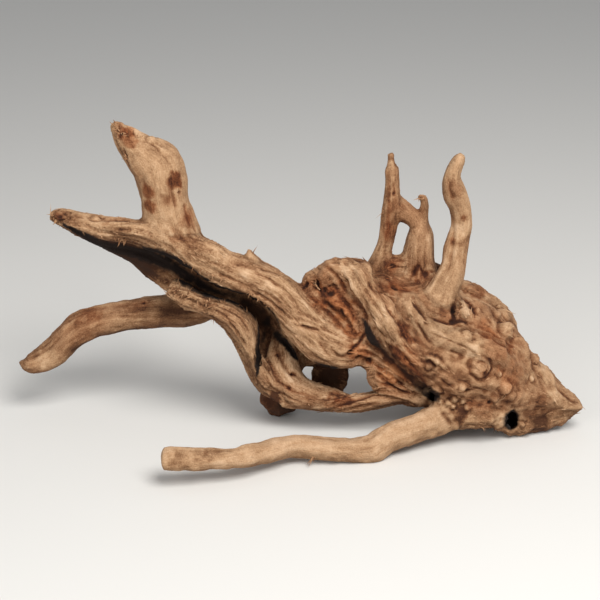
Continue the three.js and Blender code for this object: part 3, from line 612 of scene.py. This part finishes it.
# Places where the wood was torn off, as (line, half width).
TORN = [
    ([(-99.2, 3.2), (-91.2, -4.8), (-75.2, -14.4)], 5.0),
    ([(-105.6, 12), (-88, 3.2), (-68, -4.8)], 8.0),
    ([(-148, 139.2), (-142.4, 129.6), (-137.6, 118.4)], 8.0),
    ([(-144, 137.6), (-128, 128), (-115.2, 121.6)], 5.0), ([(-198.4, 68.8), (-192, 64)], 5.0),
    ([(56, -49.6), (73.6, -60.8), (92.8, -75.2)], 8.0),
    ([(40, -38.4), (49.6, -43.2), (57.6, -46.4)], 7.0), ([(3.2, 13.6), (12.8, 12), (24, 4.8)], 6.0),
    ([(62.4, 17.6), (78.4, 14.4), (92.8, 14.4)], 7.0),
    ([(126.4, -3.2), (132.8, -9.6), (126.4, -16)], 6.0), ([(24, 0), (36, -12), (44.8, -24)], 8.0),
    ([(-33.6, -64), (-25.6, -73.6), (-12, -81.6)], 5.0),
    ([(89.6, 20), (97.6, 20.8), (107.2, 21.6)], 5.0), ([(-220.8, -46.4), (-216, -52.8)], 4.0),
    ([(156.8, -88), (160, -96), (157.6, -102.4)], 4.0),
]
skin_tree = BVHTree.FromPolygons([Vector(v) for v in skin], [p.vertices[:] for p in mesh.polygons])


def spot(across, up):
    """Where the sight line through a point of the view first meets the skin."""
    hit = skin_tree.ray_cast(Vector(EYE), Vector(sighted(across, up, 0)[0] - EYE))
    return None if hit[0] is None else np.array(hit[0])


def trace(points, step=0.8):
    """Spots on the skin under a line drawn on the view."""
    points = np.array(points, float)
    run = np.concatenate(([0], np.cumsum(np.linalg.norm(np.diff(points, axis=0), axis=1))))
    marks = np.linspace(0, run[-1], max(int(run[-1] / step), 2) + 1)
    found = [spot(np.interp(m, run, points[:, 0]), np.interp(m, run, points[:, 1])) for m in marks]
    return np.array([place for place in found if place is not None])


def near_line(line, reach):
    """The skin near a line of spots: indices, distances, the line's way there and a taper to its ends."""
    close = np.flatnonzero(np.all((skin > line.min(0) - reach) & (skin < line.max(0) + reach), axis=1))
    gap = np.linalg.norm(skin[close, None] - line[None], axis=2)
    nearest, gap = gap.argmin(axis=1), gap.min(axis=1)
    keep = gap < reach
    ends = nearest[keep] / (len(line) - 1)
    way = unit(np.gradient(line, axis=0))[nearest[keep]]
    return close[keep], gap[keep], way, np.clip(5 * np.minimum(ends, 1 - ends), 0.15, 1)


height = np.zeros(count)
tone = np.zeros(count)
red = np.zeros(count)
# Painted shade: darkness painted into the hollows, grooves, pits, shaded places and undersides, which the
# material mixes toward near-black.
painted_shade = np.zeros(count)
wander = roughly(skin / 3.5, 21)
for line, width, rise, reddish, painted_shading in FURROWS:
    line = trace(line)
    close, gap, way, taper = near_line(line, 2.5 * width + 9)
    bell = np.exp(-(gap / (width * (1 + 0.35 * wander[close]))) ** 2) * taper
    height[close] += rise * bell
    red[close] += reddish * bell
    # Painted shade from the last column: grooves and shaded places darker, raised ridges paler where it is
    # negative.
    tone[close] -= 0.9 * painted_shading * bell
    painted_shade[close] += 0.5 * np.clip(painted_shading - 0.5, 0, 1) * bell
    guide = 3 * np.exp(-(gap / (width + 3.5)) ** 2)
    pull[close] += guide[:, None, None] * way[:, :, None] * way[:, None, :]
    heading[close] += guide[:, None] * way
random = np.random.default_rng(11)
hidden_knots = []
crown_verts = np.flatnonzero((share_of["crown"] + share_of["rear_skirt"] > 0.5) & (out[:, 1] > 0.2))
for pick in random.choice(crown_verts, 16):
    hidden_knots.append((skin[pick], *random.uniform((2.5, 0.5), (8, 1.5))))
for centre, radius, rise in [(spot(a, u), r, h) for a, u, r, h in KNOTS] + hidden_knots:
    gap = np.linalg.norm(skin - centre, axis=1) * (1 + 0.35 * roughly((skin - centre) / (0.7 * radius), 22))
    close = gap < 2.4 * radius
    inner = gap[close] / radius
    dome = np.clip(1 - inner ** 2, 0, 1) ** 1.3
    moat = np.exp(-((inner - 1.15) / 0.3) ** 2) * np.clip(0.5 + roughly(skin[close] / radius, 23), 0, 1)
    rings = np.cos(2 * np.pi * gap[close] / max(2.8, radius / 3)) * (radius > 5)
    rings *= np.clip(1.15 - inner, 0, 1)
    height[close] += 1.35 * rise * dome - 0.35 * rise * moat + 0.4 * rings
    # Painted highlight and shade: each knot's raised dome is painted paler, the sunken moat round it
    # darker, and the rings alternate.
    tone[close] += 0.3 * dome - 0.35 * moat + 0.15 * rings
    across_knot = np.cross(out[close], unit(skin[close] - centre))
    guide = 5 * np.exp(-(inner / 1.5) ** 2)
    pull[close] += guide[:, None, None] * across_knot[:, :, None] * across_knot[:, None, :]
    heading[close] += guide[:, None] * across_knot
for across, up, radius, depth in PITS:
    gap = np.linalg.norm(skin - spot(across, up), axis=1) * (1 + 0.3 * wander)
    well = np.exp(-(gap / radius) ** 4)
    height -= depth * well
    # Painted shade: the pits are painted darker inside.
    tone -= 0.5 * well
    painted_shade += 0.55 * well
    red += 0.6 * np.exp(-(gap / (1.7 * radius)) ** 2)
# Bark remnants, the reddest of the patches, have sharp edges.
BARK_RED = 0.8
for across, up, radius, shade, reddish in PATCHES:
    gap = np.linalg.norm(skin - spot(across, up), axis=1)
    ragged, fade = (0.25, 0.3) if reddish >= BARK_RED else (0.5, 0.7)
    inside = np.clip(0.43 + (1 - gap / radius + ragged * wander) / fade, 0, 1)
    tone += shade * inside
    red += reddish * inside

torn = np.zeros(count)
for line, width in TORN:
    line = trace(line)
    close, gap, way, taper = near_line(line, 2.5 * width)
    torn[close] = np.maximum(torn[close], np.exp(-(gap / width) ** 2))

# The grain's way over the skin, evened out between neighbours, and the next vertex along it both ways.
for step in range(12):
    pull += 0.6 * (mean_of_neighbours(pull) - pull)
flat = np.eye(3) - out[:, :, None] * out[:, None, :]
flow = np.linalg.eigh(flat @ pull @ flat)[1][:, :, 2]
flow *= np.where(np.sum(flow * heading, axis=1) < 0, -1, 1)[:, None]
beside = np.repeat(np.arange(count)[:, None], 5, axis=1)
nth = np.arange(len(links)) - np.concatenate(([0], np.cumsum(degree)))[links[:, 0]]
beside[links[nth < 5, 0], nth[nth < 5]] = links[nth < 5, 1]
ahead, behind = np.empty(count, int), np.empty(count, int)
for some in np.array_split(np.arange(count), 1 + count // 4000):
    ring = beside[beside[beside[some]]].reshape(len(some), -1)
    step_to = skin[ring] - skin[some, None]
    length = np.linalg.norm(step_to, axis=2)
    aligned = np.einsum("ijk,ik->ij", step_to, flow[some]) / np.maximum(length, 1e-6)
    aligned[length < 1.4 * VOXEL] = 0
    ahead[some] = np.take_along_axis(ring, aligned.argmax(axis=1)[:, None], 1)[:, 0]
    behind[some] = np.take_along_axis(ring, aligned.argmin(axis=1)[:, None], 1)[:, 0]


def streaked(values, steps):
    """Values smeared along the grain, with mean 0 and spread 1."""
    total = values.copy()
    for facing in (1, -1):
        at, way = np.arange(count), facing * flow
        for _ in range(steps):
            onward = np.sum(way * flow[at], axis=1) > 0
            way = np.where(onward[:, None], flow[at], -flow[at])
            at = np.where(onward, ahead[at], behind[at])
            total += values[at]
    total = 0.5 * total + 0.5 * mean_of_neighbours(total)
    return (total - total.mean()) / total.std()


# Relief: long furrows and fibres along the grain, cracks between them, and lumps on the crown.
# What skin is divided by is the size of a bump in millimetres, and the factors are heights in millimetres.
LIMB_LOOKS = {
    # roughness, tone and redness of each limb's wood; the low tones of the rear stump, back wall, pocket
    # wall and foot stub are painted shade, as these limbs lie in shade
    "crown": (0.8, 0.1, 0.2), "crown_skirt": (1.0, -0.1, 0.15), "rear_skirt": (1.0, -0.1, 0.15),
    "shoulder_ridge": (1.0, -0.15, 0.2), "brow_ridge": (1.0, 0.05, 0.05), "rear_ridge": (0.9, -0.1, 0.15),
    "valley": (0.9, -0.05, 0.3), "shoot_saddle": (0.9, -0.2, 0.2), "rear_stump": (0.9, -1.3, 0.1),
    "upper_wall": (1.0, 0.05, 0.05), "back_wall": (0.8, -0.5, 0.0), "lower_wall": (1.0, -0.1, 0.0),
    "bowl": (1.0, 0.1, 0.2), "pocket_wall": (0.8, -0.6, 0.0), "torn_flap": (1.0, 0.25, 0.4),
    "trunk_spur": (0.7, 0.1, 0.1), "foot_stub": (0.6, -0.6, 0.1), "broken_stub": (0.5, 0.3, 0.0),
    "back_limb": (0.55, -0.15, 0.1), "front_limb": (0.45, 0.5, -0.2), "forked_shoot": (0.7, -0.15, 0.2),
    "shoot_bridge": (0.7, -0.2, 0.2), "middle_shoot": (0.7, -0.05, 0.15), "tall_shoot": (0.6, 0.1, 0.05),
}
rough = sum(share * LIMB_LOOKS[name][0] for name, share in share_of.items())
tone += sum(share * LIMB_LOOKS[name][1] for name, share in share_of.items())
red += sum(share * LIMB_LOOKS[name][2] for name, share in share_of.items())
crown_share = sum(share_of[n] for n in ("crown", "crown_skirt", "rear_skirt", "brow_ridge", "rear_ridge"))
shaggy_limbs = ("upper_wall", "lower_wall", "bowl", "shoulder_ridge", "torn_flap", "valley")
shaggy = sum(share_of[n] for n in shaggy_limbs)
shoots = share_of["forked_shoot"] + share_of["middle_shoot"] + share_of["tall_shoot"]
folds = streaked(roughly(skin / 9.0, 12), 12)
furrows = streaked(roughly(skin / 5.0, 2), 12)
strands = streaked(roughly(skin / 2.6, 3), 8)
fibres = streaked(random.normal(size=count), 7)
plates = np.round(1.6 * streaked(roughly(skin / 3.4, 31), 5)) / 1.6
splits = np.clip((-1.1 - streaked(roughly(skin / 2.2, 5), 7)) / 0.9, 0, 1)
splits *= np.clip(0.5 + 1.2 * roughly(skin / 11, 6), 0, 1)
tilted = skin @ np.array(Euler((0.6, 0.5, 0.4)).to_matrix())
lumps = 1 - 2 * np.abs(roughly(tilted / 14.0, 4))
bare = 1 - np.clip(rough, 0, 1)
height += 0.8 * roughly(skin / 28.0, 1)
height += bare * (1 - 0.6 * shoots) * (1.5 * roughly(skin / 13.0, 13) + 1.1 * roughly(skin / 6.0, 16))
height += share_of["pocket_wall"] * (1.8 * roughly(skin / 10.0, 41) + 0.8 * roughly(skin / 4.0, 42))
height += share_of["foot_stub"] * (1.8 * roughly(skin / 10.0, 41) + 0.8 * roughly(skin / 4.0, 42))
height += share_of["shoulder_ridge"] * (2.6 * roughly(skin / 13.0, 18) + 1.2 * roughly(skin / 6.0, 19))
height += rough * (1 - 0.65 * crown_share) * (0.3 * furrows + 0.3 * strands + 0.16 * fibres - 0.6 * splits)
height += crown_share * (0.5 * folds + 1.4 * lumps)
height += crown_share * (0.85 * roughly(tilted / 5.5, 7) + 0.4 * roughly(tilted / 3.0, 17))
height += (0.9 * torn + 0.45 * shaggy) * plates
skin += np.clip(height, -9, 7)[:, None] * out
skin[:, 2] = np.maximum(skin[:, 2], 0)

# Painted shade and highlight: the slit, its branch, the gully and the caves are painted dark inside,
# undersides, concave places and creases are painted darker and browner, and convex edges paler.
for stations, deeper, hollow_shade in [(SLIT, 6, (1, 1)), (SLIT_BRANCH, 6, (1, 1)), (GULLY, 4, (1, 1, 0.15, 0, 1)),
                                *[(cave, 0, (1, 1)) for cave in CAVES]]:
    place, way, wide_axis, deep_axis, half = along(stations, 8)
    close = np.flatnonzero(np.all((skin > place.min(0) - 34) & (skin < place.max(0) + 34), axis=1))
    near = np.empty(len(close), int)
    for some in np.array_split(np.arange(len(close)), 1 + len(close) // 8000):
        near[some] = ((skin[close[some], None] - place[None]) ** 2).sum(axis=2).argmin(axis=1)
    offset = skin[close] - place[near]
    x, y, s = [np.sum(offset * axis[near], axis=1) for axis in (wide_axis, deep_axis, way)]
    reach = np.sqrt((x / half[near, 0]) ** 2 + (y / (half[near, 1] + deeper)) ** 2 + (s / 6) ** 2)
    hollow_shade_there = np.interp(near / len(place), np.linspace(0, 1, len(hollow_shade)), hollow_shade)
    painted_shade[close] += hollow_shade_there * np.clip((1.1 - reach + 0.1 * wander[close]) / 0.2, 0, 1)
out = normals()
mean = skin.copy()
for step in range(30):
    mean = mean_of_neighbours(mean)
    if step == 3:
        dint = np.sum((mean - skin) * out, axis=1)
bowl = np.sum((mean - skin) * out, axis=1)
# Painted shade: surfaces facing down, concave places and creases are darkened; convex edges are lightened
# as painted highlight.
under = np.clip(-out[:, 2] - 0.1, 0, 1)
creases = np.clip(dint / 0.35 - 0.2, 0, 1)
tone -= rough * (0.25 * splits + 0.2 * creases) + 0.3 * np.clip(bowl / 1.2 - 0.4, 0, 1) + 0.7 * under
painted_shade += 0.25 * under
streaky = rough * (1 - 0.6 * crown_share)
tone += streaky * (0.07 * strands + 0.12 * fibres + 0.03 * furrows) + 0.18 * np.clip(-dint / 0.3, -1, 1)
tone += 0.3 * roughly(skin / 20.0, 8) + 0.24 * roughly(skin / 7.0, 14) + 0.2 * roughly(skin / 2.6, 15)
red += 0.25 * roughly(skin / 24.0, 9) + 0.2 * np.clip(bowl / 1.5, 0, 1) - 0.2 * np.clip(tone, -1, 1)


def keep(mesh, name, values, kind="FLOAT", field="value"):
    """Stores a value per vertex for the material."""
    layer = mesh.attributes.new(name, kind, "POINT")
    layer.data.foreach_set(field, np.ascontiguousarray(values, np.float32).ravel())


normals()
keep(mesh, "grain", grain, "FLOAT_VECTOR", "vector")
keep(mesh, "tone", tone)
keep(mesh, "red", np.clip(red, 0, 1))
keep(mesh, "coarse", np.clip(1.3 * streaky - 0.25, 0.3, 1))
keep(mesh, "painted_shade", np.clip(painted_shade, 0, 1))
mesh.vertices.foreach_set("co", (skin / 1000).ravel())
mesh.update()
thin = root.modifiers.new("thin", "DECIMATE")
thin.ratio = 195000 / (2 * len(mesh.polygons))
settle(root)
mesh = root.data
mesh.shade_smooth()


def linear(hex_colour):
    """An sRGB hex colour as the linear values that materials take."""
    parts = [int(hex_colour[i:i + 2], 16) / 255 for i in (1, 3, 5)]
    return (*[p / 12.92 if p <= 0.04045 else ((p + 0.055) / 1.055) ** 2.4 for p in parts], 1)


def node(tree, kind, settings=(), inputs=()):
    """Adds a node, sets its properties and sockets, and links what is given into it."""
    made = tree.nodes.new(kind)
    for key, value in dict(settings).items():
        setattr(made, key, value)
    for key, value in dict(inputs).items():
        socket = made.inputs[key]
        if isinstance(value, bpy.types.NodeSocket):
            tree.links.new(value, socket)
        else:
            socket.default_value = value
    return made


wood = bpy.data.materials.new("weathered_azalea_root")
wood.use_nodes = True
tree = wood.node_tree
tree.nodes.clear()
at = {}
for name in ("grain", "tone", "red", "painted_shade", "coarse"):
    at[name] = node(tree, "ShaderNodeAttribute", dict(attribute_name=name))
place_at = node(tree, "ShaderNodeTexCoord")
# Fibres are about 0.8 mm across and 7 mm long; the mottling is about 5 mm across.
fibre = node(tree, "ShaderNodeTexNoise",
             inputs=dict(Vector=at["grain"].outputs["Vector"], Scale=1.2, Detail=3.0, Roughness=0.65,
                         Distortion=0.6))
mottle = node(tree, "ShaderNodeTexNoise",
              inputs=dict(Vector=at["grain"].outputs["Vector"], Scale=0.2, Detail=3.0))
speck = node(tree, "ShaderNodeTexNoise",
             inputs=dict(Vector=place_at.outputs["Object"], Scale=900.0, Detail=2.0))
dots = node(tree, "ShaderNodeMath", dict(operation="MULTIPLY_ADD"),
            {0: speck.outputs["Fac"], 1: 0.34, 2: -0.015})
thread = node(tree, "ShaderNodeMath", dict(operation="MULTIPLY_ADD"),
              {0: fibre.outputs["Fac"], 1: 0.6, 2: -0.3})
fine = node(tree, "ShaderNodeMath", dict(operation="MULTIPLY_ADD"),
            {0: thread.outputs[0], 1: at["coarse"].outputs["Fac"], 2: dots.outputs[0]})
broad = node(tree, "ShaderNodeMath", dict(operation="MULTIPLY_ADD"),
             {0: mottle.outputs["Fac"], 1: 0.3, 2: fine.outputs[0]})
shade = node(tree, "ShaderNodeMath", dict(operation="MULTIPLY_ADD"),
             {0: at["tone"].outputs["Fac"], 1: 0.27, 2: broad.outputs[0]})
ramps = []
for stops in [
    [(0.0, "#4a2c18"), (0.2, "#805b3d"), (0.42, "#b08a66"), (0.65, "#cfab88"), (1.0, "#ead2b4")],
    [(0.0, "#3d1d0d"), (0.2, "#713d1f"), (0.42, "#9c623b"), (0.65, "#be8559"), (1.0, "#ddb083")],
]:
    made = node(tree, "ShaderNodeValToRGB", inputs=dict(Fac=shade.outputs[0]))
    ramp = made.color_ramp
    ramp.elements[0].position, ramp.elements[1].position = stops[0][0], stops[-1][0]
    for position, colour in stops[1:-1]:
        ramp.elements.new(position)
    for element, (position, colour) in zip(ramp.elements, stops):
        element.color = linear(colour)
    ramps.append(made.outputs["Color"])
tan, rust = ramps
coloured = node(tree, "ShaderNodeMix", dict(data_type="RGBA"),
                {"Factor": at["red"].outputs["Fac"], "A": tan, "B": rust})
# Painted shade: the attribute of painted shade mixes the wood toward near-black #1b0f09 in the hollows,
# grooves, shaded places and undersides.
deep = node(tree, "ShaderNodeMix", dict(data_type="RGBA"),
            {"Factor": at["painted_shade"].outputs["Fac"], "A": coloured.outputs["Result"], "B": linear("#1b0f09")})
crumbs = node(tree, "ShaderNodeMath", dict(operation="MULTIPLY_ADD"),
              {0: speck.outputs["Fac"], 1: 0.5, 2: fibre.outputs["Fac"]})
lift = node(tree, "ShaderNodeBump", inputs=dict(Height=crumbs.outputs[0], Strength=1.0, Distance=0.001))
shader = node(tree, "ShaderNodeBsdfPrincipled",
              inputs={"Base Color": deep.outputs["Result"], "Roughness": 0.85, "Specular IOR Level": 0.25,
                      "Normal": lift.outputs["Normal"]})
node(tree, "ShaderNodeOutputMaterial", inputs=dict(Surface=shader.outputs["BSDF"]))
mesh.materials.clear()
mesh.materials.append(wood)
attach(root, "root")
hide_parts("spiderwood_root")

# Splinters: the torn fibres that stand off the rims of the slit, the breaks and the frayed edges.
# They are the same bare wood as the root, each one drawn out to a point along a bent line.
# Rows are (line on the view, count, lean across and up, shortest and longest, width).
SPLINTERS = [
    ([(-102.4, 9.6), (-91.2, 4.8), (-80, 0.8), (-68.8, -4)], 22, (-0.5, -0.5), (3, 8), 1.3),
    ([(-147.2, 139.2), (-144, 134.4), (-137.6, 131.2), (-128, 123.2)], 14, (-0.4, 0.8), (2, 6), 1.2),
    ([(-144.8, 132.8), (-142.4, 121.6), (-138.4, 112)], 10, (-0.8, 0.4), (2, 5), 1.0),
    ([(57.6, -54.4), (59.2, -60.8), (62.4, -68.8)], 12, (-0.9, -0.2), (2, 6), 1.1),
    ([(60.8, -49.6), (73.6, -57.6), (86.4, -68.8)], 12, (0.6, -0.5), (3, 8), 1.2),
    ([(124.8, -11.2), (129.6, -4.8), (132.8, -12.8)], 12, (-0.2, 0.3), (3, 7), 1.6),
    ([(-198.4, 68.8), (-195.2, 64)], 5, (-0.7, -0.5), (1.5, 3), 1.1),
    ([(-177.6, 55.2), (-152, 50.4), (-120, 45.6), (-102.4, 37.6), (-80, 23.2)], 16, (0, -1), (2, 6), 0.5),
    ([(-148.8, 49.6), (-144, 48), (-139.2, 48)], 12, (-0.1, -1), (2, 5), 0.7),
    ([(-96, 33.6), (-68, 19.2), (-40, 6.4), (-19.2, -9.6)], 30, (0, -1), (1, 3), 0.6),
    ([(-80, 24), (-56, 12), (-30.4, -0.8), (-12.8, -17.6), (-1.6, -36)], 10, (-0.4, -0.8), (1.5, 4), 0.5),
    ([(-102.4, 11.2), (-88, 6.4), (-68, -1.6), (-48, -4.8), (-33.6, -16)], 18, (0.1, 1), (2, 6), 0.5),
    ([(-100.8, 7.2), (-89.6, -1.6), (-76, -9.6), (-64, -17.6)], 16, (-1, -0.6), (2, 6), 0.5),
    ([(-57.6, -22.4), (-48, -36.8), (-38.4, -52.8)], 7, (-0.9, -0.5), (1.5, 4), 0.5),
    ([(-27.2, -57.6), (-25.6, -41.6), (-22.4, -30.4)], 7, (-0.7, 0.5), (1.5, 5), 0.5),
    ([(0, -82.4), (24, -86.4), (40, -86.4)], 7, (0.3, -1), (2, 5), 0.5),
    ([(59.2, -69.6), (62.4, -70.4)], 4, (-1, 0.1), (3, 7), 0.5),
    ([(57.6, -50.4), (68, -58.4), (80, -67.2)], 6, (0.5, 0.4), (1.5, 4), 0.5),
    ([(4, 15.2), (8.8, 18.4), (14.4, 9.6)], 5, (-0.3, 0.8), (2, 6), 0.5),
    ([(-146.4, 138.4), (-137.6, 135.2), (-120, 127.2), (-108, 119.2)], 11, (-0.1, 1), (1.5, 4), 0.5),
    ([(-145.6, 136), (-146.4, 126.4), (-143.2, 116.8)], 6, (-0.9, 0.4), (1.5, 4), 0.5),
    ([(10.4, -125.6), (15.2, -126.4)], 5, (-0.6, -0.7), (3, 7), 1.0),
    ([(-220, -48), (-214.4, -52.8)], 3, (-0.8, -0.5), (1, 3), 0.5),
    ([(137.6, -99.2), (147.2, -101.6), (156.8, -102.4)], 7, (0.1, -1), (1.5, 4), 0.5),
    ([(209.6, -91.2), (217.6, -92), (223.2, -86.4)], 6, (0.6, -0.5), (1.5, 4), 0.5),
    ([(-43.2, 36.8), (-40, 38.4), (-36.8, 36)], 4, (0, 1), (2, 4), 0.5),
    ([(67.2, 76), (66.4, 67.2)], 4, (-1, 0.2), (2, 5), 0.5),
    ([(96, 81.6), (98.4, 81.6)], 4, (-1, 0.25), (4, 7), 1.3),
    ([(28.8, 28.8), (40, 29.6), (51.2, 27.2)], 5, (0.1, 1), (1.5, 3), 0.5),
]
random = np.random.default_rng(5)
FIBRE_ROWS = 7
ON_FIBRE = np.linspace(-0.25, 1, FIBRE_ROWS)[:, None]
bm = bmesh.new()
rows = np.arange(FIBRE_ROWS)
straight = np.stack((0 * rows, 0 * rows, rows), axis=1)
way, wide_axis, deep_axis = [np.tile(axis, (FIBRE_ROWS, 1)) for axis in ((0, 0, 1), (1, 0, 0), (0, 1, 0))]
sweep(bm, (straight, way, wide_axis, deep_axis, np.ones((FIBRE_ROWS, 2))), sides=6, flute_depth=0, twist=0)
bm.verts.index_update()
ring_x, ring_y, row = np.array([v.co for v in bm.verts]).T
row = np.round(row).astype(int)
fibre_faces = np.array([[v.index for v in f.verts] for f in bm.faces if len(f.verts) == 4])
bm.free()
fibres_made = []


def add_fibre(place, outward, wide, thick, looks):
    """Bends the straight fibre along a line of places and draws its end out to a point."""
    run = unit(np.gradient(place, axis=0))
    flat_side = unit(np.cross(run, outward))
    taper = np.clip(np.minimum(1.04 - ON_FIBRE, 1), 0.05, 1)[row]
    corners = place[row] + taper * (wide * ring_x[:, None] * flat_side[row]
                                    + thick * ring_y[:, None] * np.cross(run, flat_side)[row])
    fibres_made.append((corners, *looks))


for line, number, (lean, climb), (shortest, longest), wide in SPLINTERS:
    spots = trace(line)
    for base in spots[random.integers(0, len(spots), number)]:
        way = lean * np.array((1, 0, 0)) + climb * UP - 0.35 * SIGHT + random.normal(size=3) * 0.5
        bend = random.normal(size=3) * 0.45
        length = random.uniform(shortest, longest) * random.uniform(0.5, 1)
        place = base + length * ON_FIBRE * (way + ON_FIBRE * bend)
        add_fibre(place, -SIGHT, wide * random.uniform(0.6, 1.3), 0.4 * wide,
                  (random.uniform(-0.6, 0.4), 0.2))
frayed = np.flatnonzero((rough > 0.75) & (painted_shade < 0.3) & (skin[:, 2] > 4))
for pick in random.choice(frayed, 2050):
    length = random.uniform(2, 7)
    way = flow[pick] * random.choice((-1, 1)) + 0.15 * random.normal(size=3)
    lift = random.uniform(0.02, 0.16)
    place = skin[pick] + length * ON_FIBRE * (way + lift * ON_FIBRE * out[pick])
    add_fibre(place, out[pick], random.uniform(0.4, 0.9), 0.35,
              (tone[pick] + random.uniform(-0.3, 0.45), red[pick]))
corners, fibre_tone, fibre_red = [np.array(values) for values in zip(*fibres_made)]
corners[:, :, 2] = np.maximum(corners[:, :, 2], 0)
number = corners.shape[1]
faces = (fibre_faces[None] + number * np.arange(len(corners))[:, None, None]).reshape(-1, 4)
fibre_mesh = bpy.data.meshes.new("torn_fibres")
fibre_mesh.from_pydata(corners.reshape(-1, 3) / 1000, [], faces)
keep(fibre_mesh, "tone", np.repeat(fibre_tone, number))
keep(fibre_mesh, "red", np.repeat(fibre_red, number))
keep(fibre_mesh, "coarse", np.ones(corners.shape[0] * number))
keep(fibre_mesh, "grain", corners / 3, "FLOAT_VECTOR", "vector")
fibre_mesh.shade_smooth()
splinters = bpy.data.objects.new("torn_fibres", fibre_mesh)
bpy.context.collection.objects.link(splinters)
splinters.data.materials.append(wood)
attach(splinters, "root")
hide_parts("spiderwood_root")

# The setting: a plain pale floor under soft light from above, a little to the right.
bm = bmesh.new()
bmesh.ops.create_grid(bm, x_segments=1, y_segments=1, size=3, matrix=Matrix.Translation((0, 0, -0.0002)))
floor_mesh = bpy.data.meshes.new("floor")
bm.to_mesh(floor_mesh)
bm.free()
floor = bpy.data.objects.new("floor", floor_mesh)
bpy.context.collection.objects.link(floor)
paper = bpy.data.materials.new("pale_paper")
paper.use_nodes = True
paper.node_tree.nodes["Principled BSDF"].inputs["Base Color"].default_value = linear("#d9d6d0")
paper.node_tree.nodes["Principled BSDF"].inputs["Roughness"].default_value = 0.9
floor_mesh.materials.append(paper)

for name, place, aim, size, watts in [
    ("softbox", (0.45, -0.8, 1.3), (0, 0, 0.08), 0.8, 26),
    ("fill", (-0.9, -1.3, 0.7), (0, 0, 0.1), 1.0, 9),
]:
    light = bpy.data.lights.new(name, "AREA")
    light.size, light.energy = size, watts
    lamp = bpy.data.objects.new(name, light)
    lamp.location = place
    lamp.rotation_euler = (Vector(aim) - Vector(place)).to_track_quat("-Z", "Y").to_euler()
    bpy.context.collection.objects.link(lamp)
world = bpy.data.worlds.new("studio")
bpy.context.scene.world = world
world.use_nodes = True
world.node_tree.nodes["Background"].inputs["Color"].default_value = linear("#e6e9ee")
world.node_tree.nodes["Background"].inputs["Strength"].default_value = 0.45
bpy.context.scene.view_settings.view_transform = "Standard"
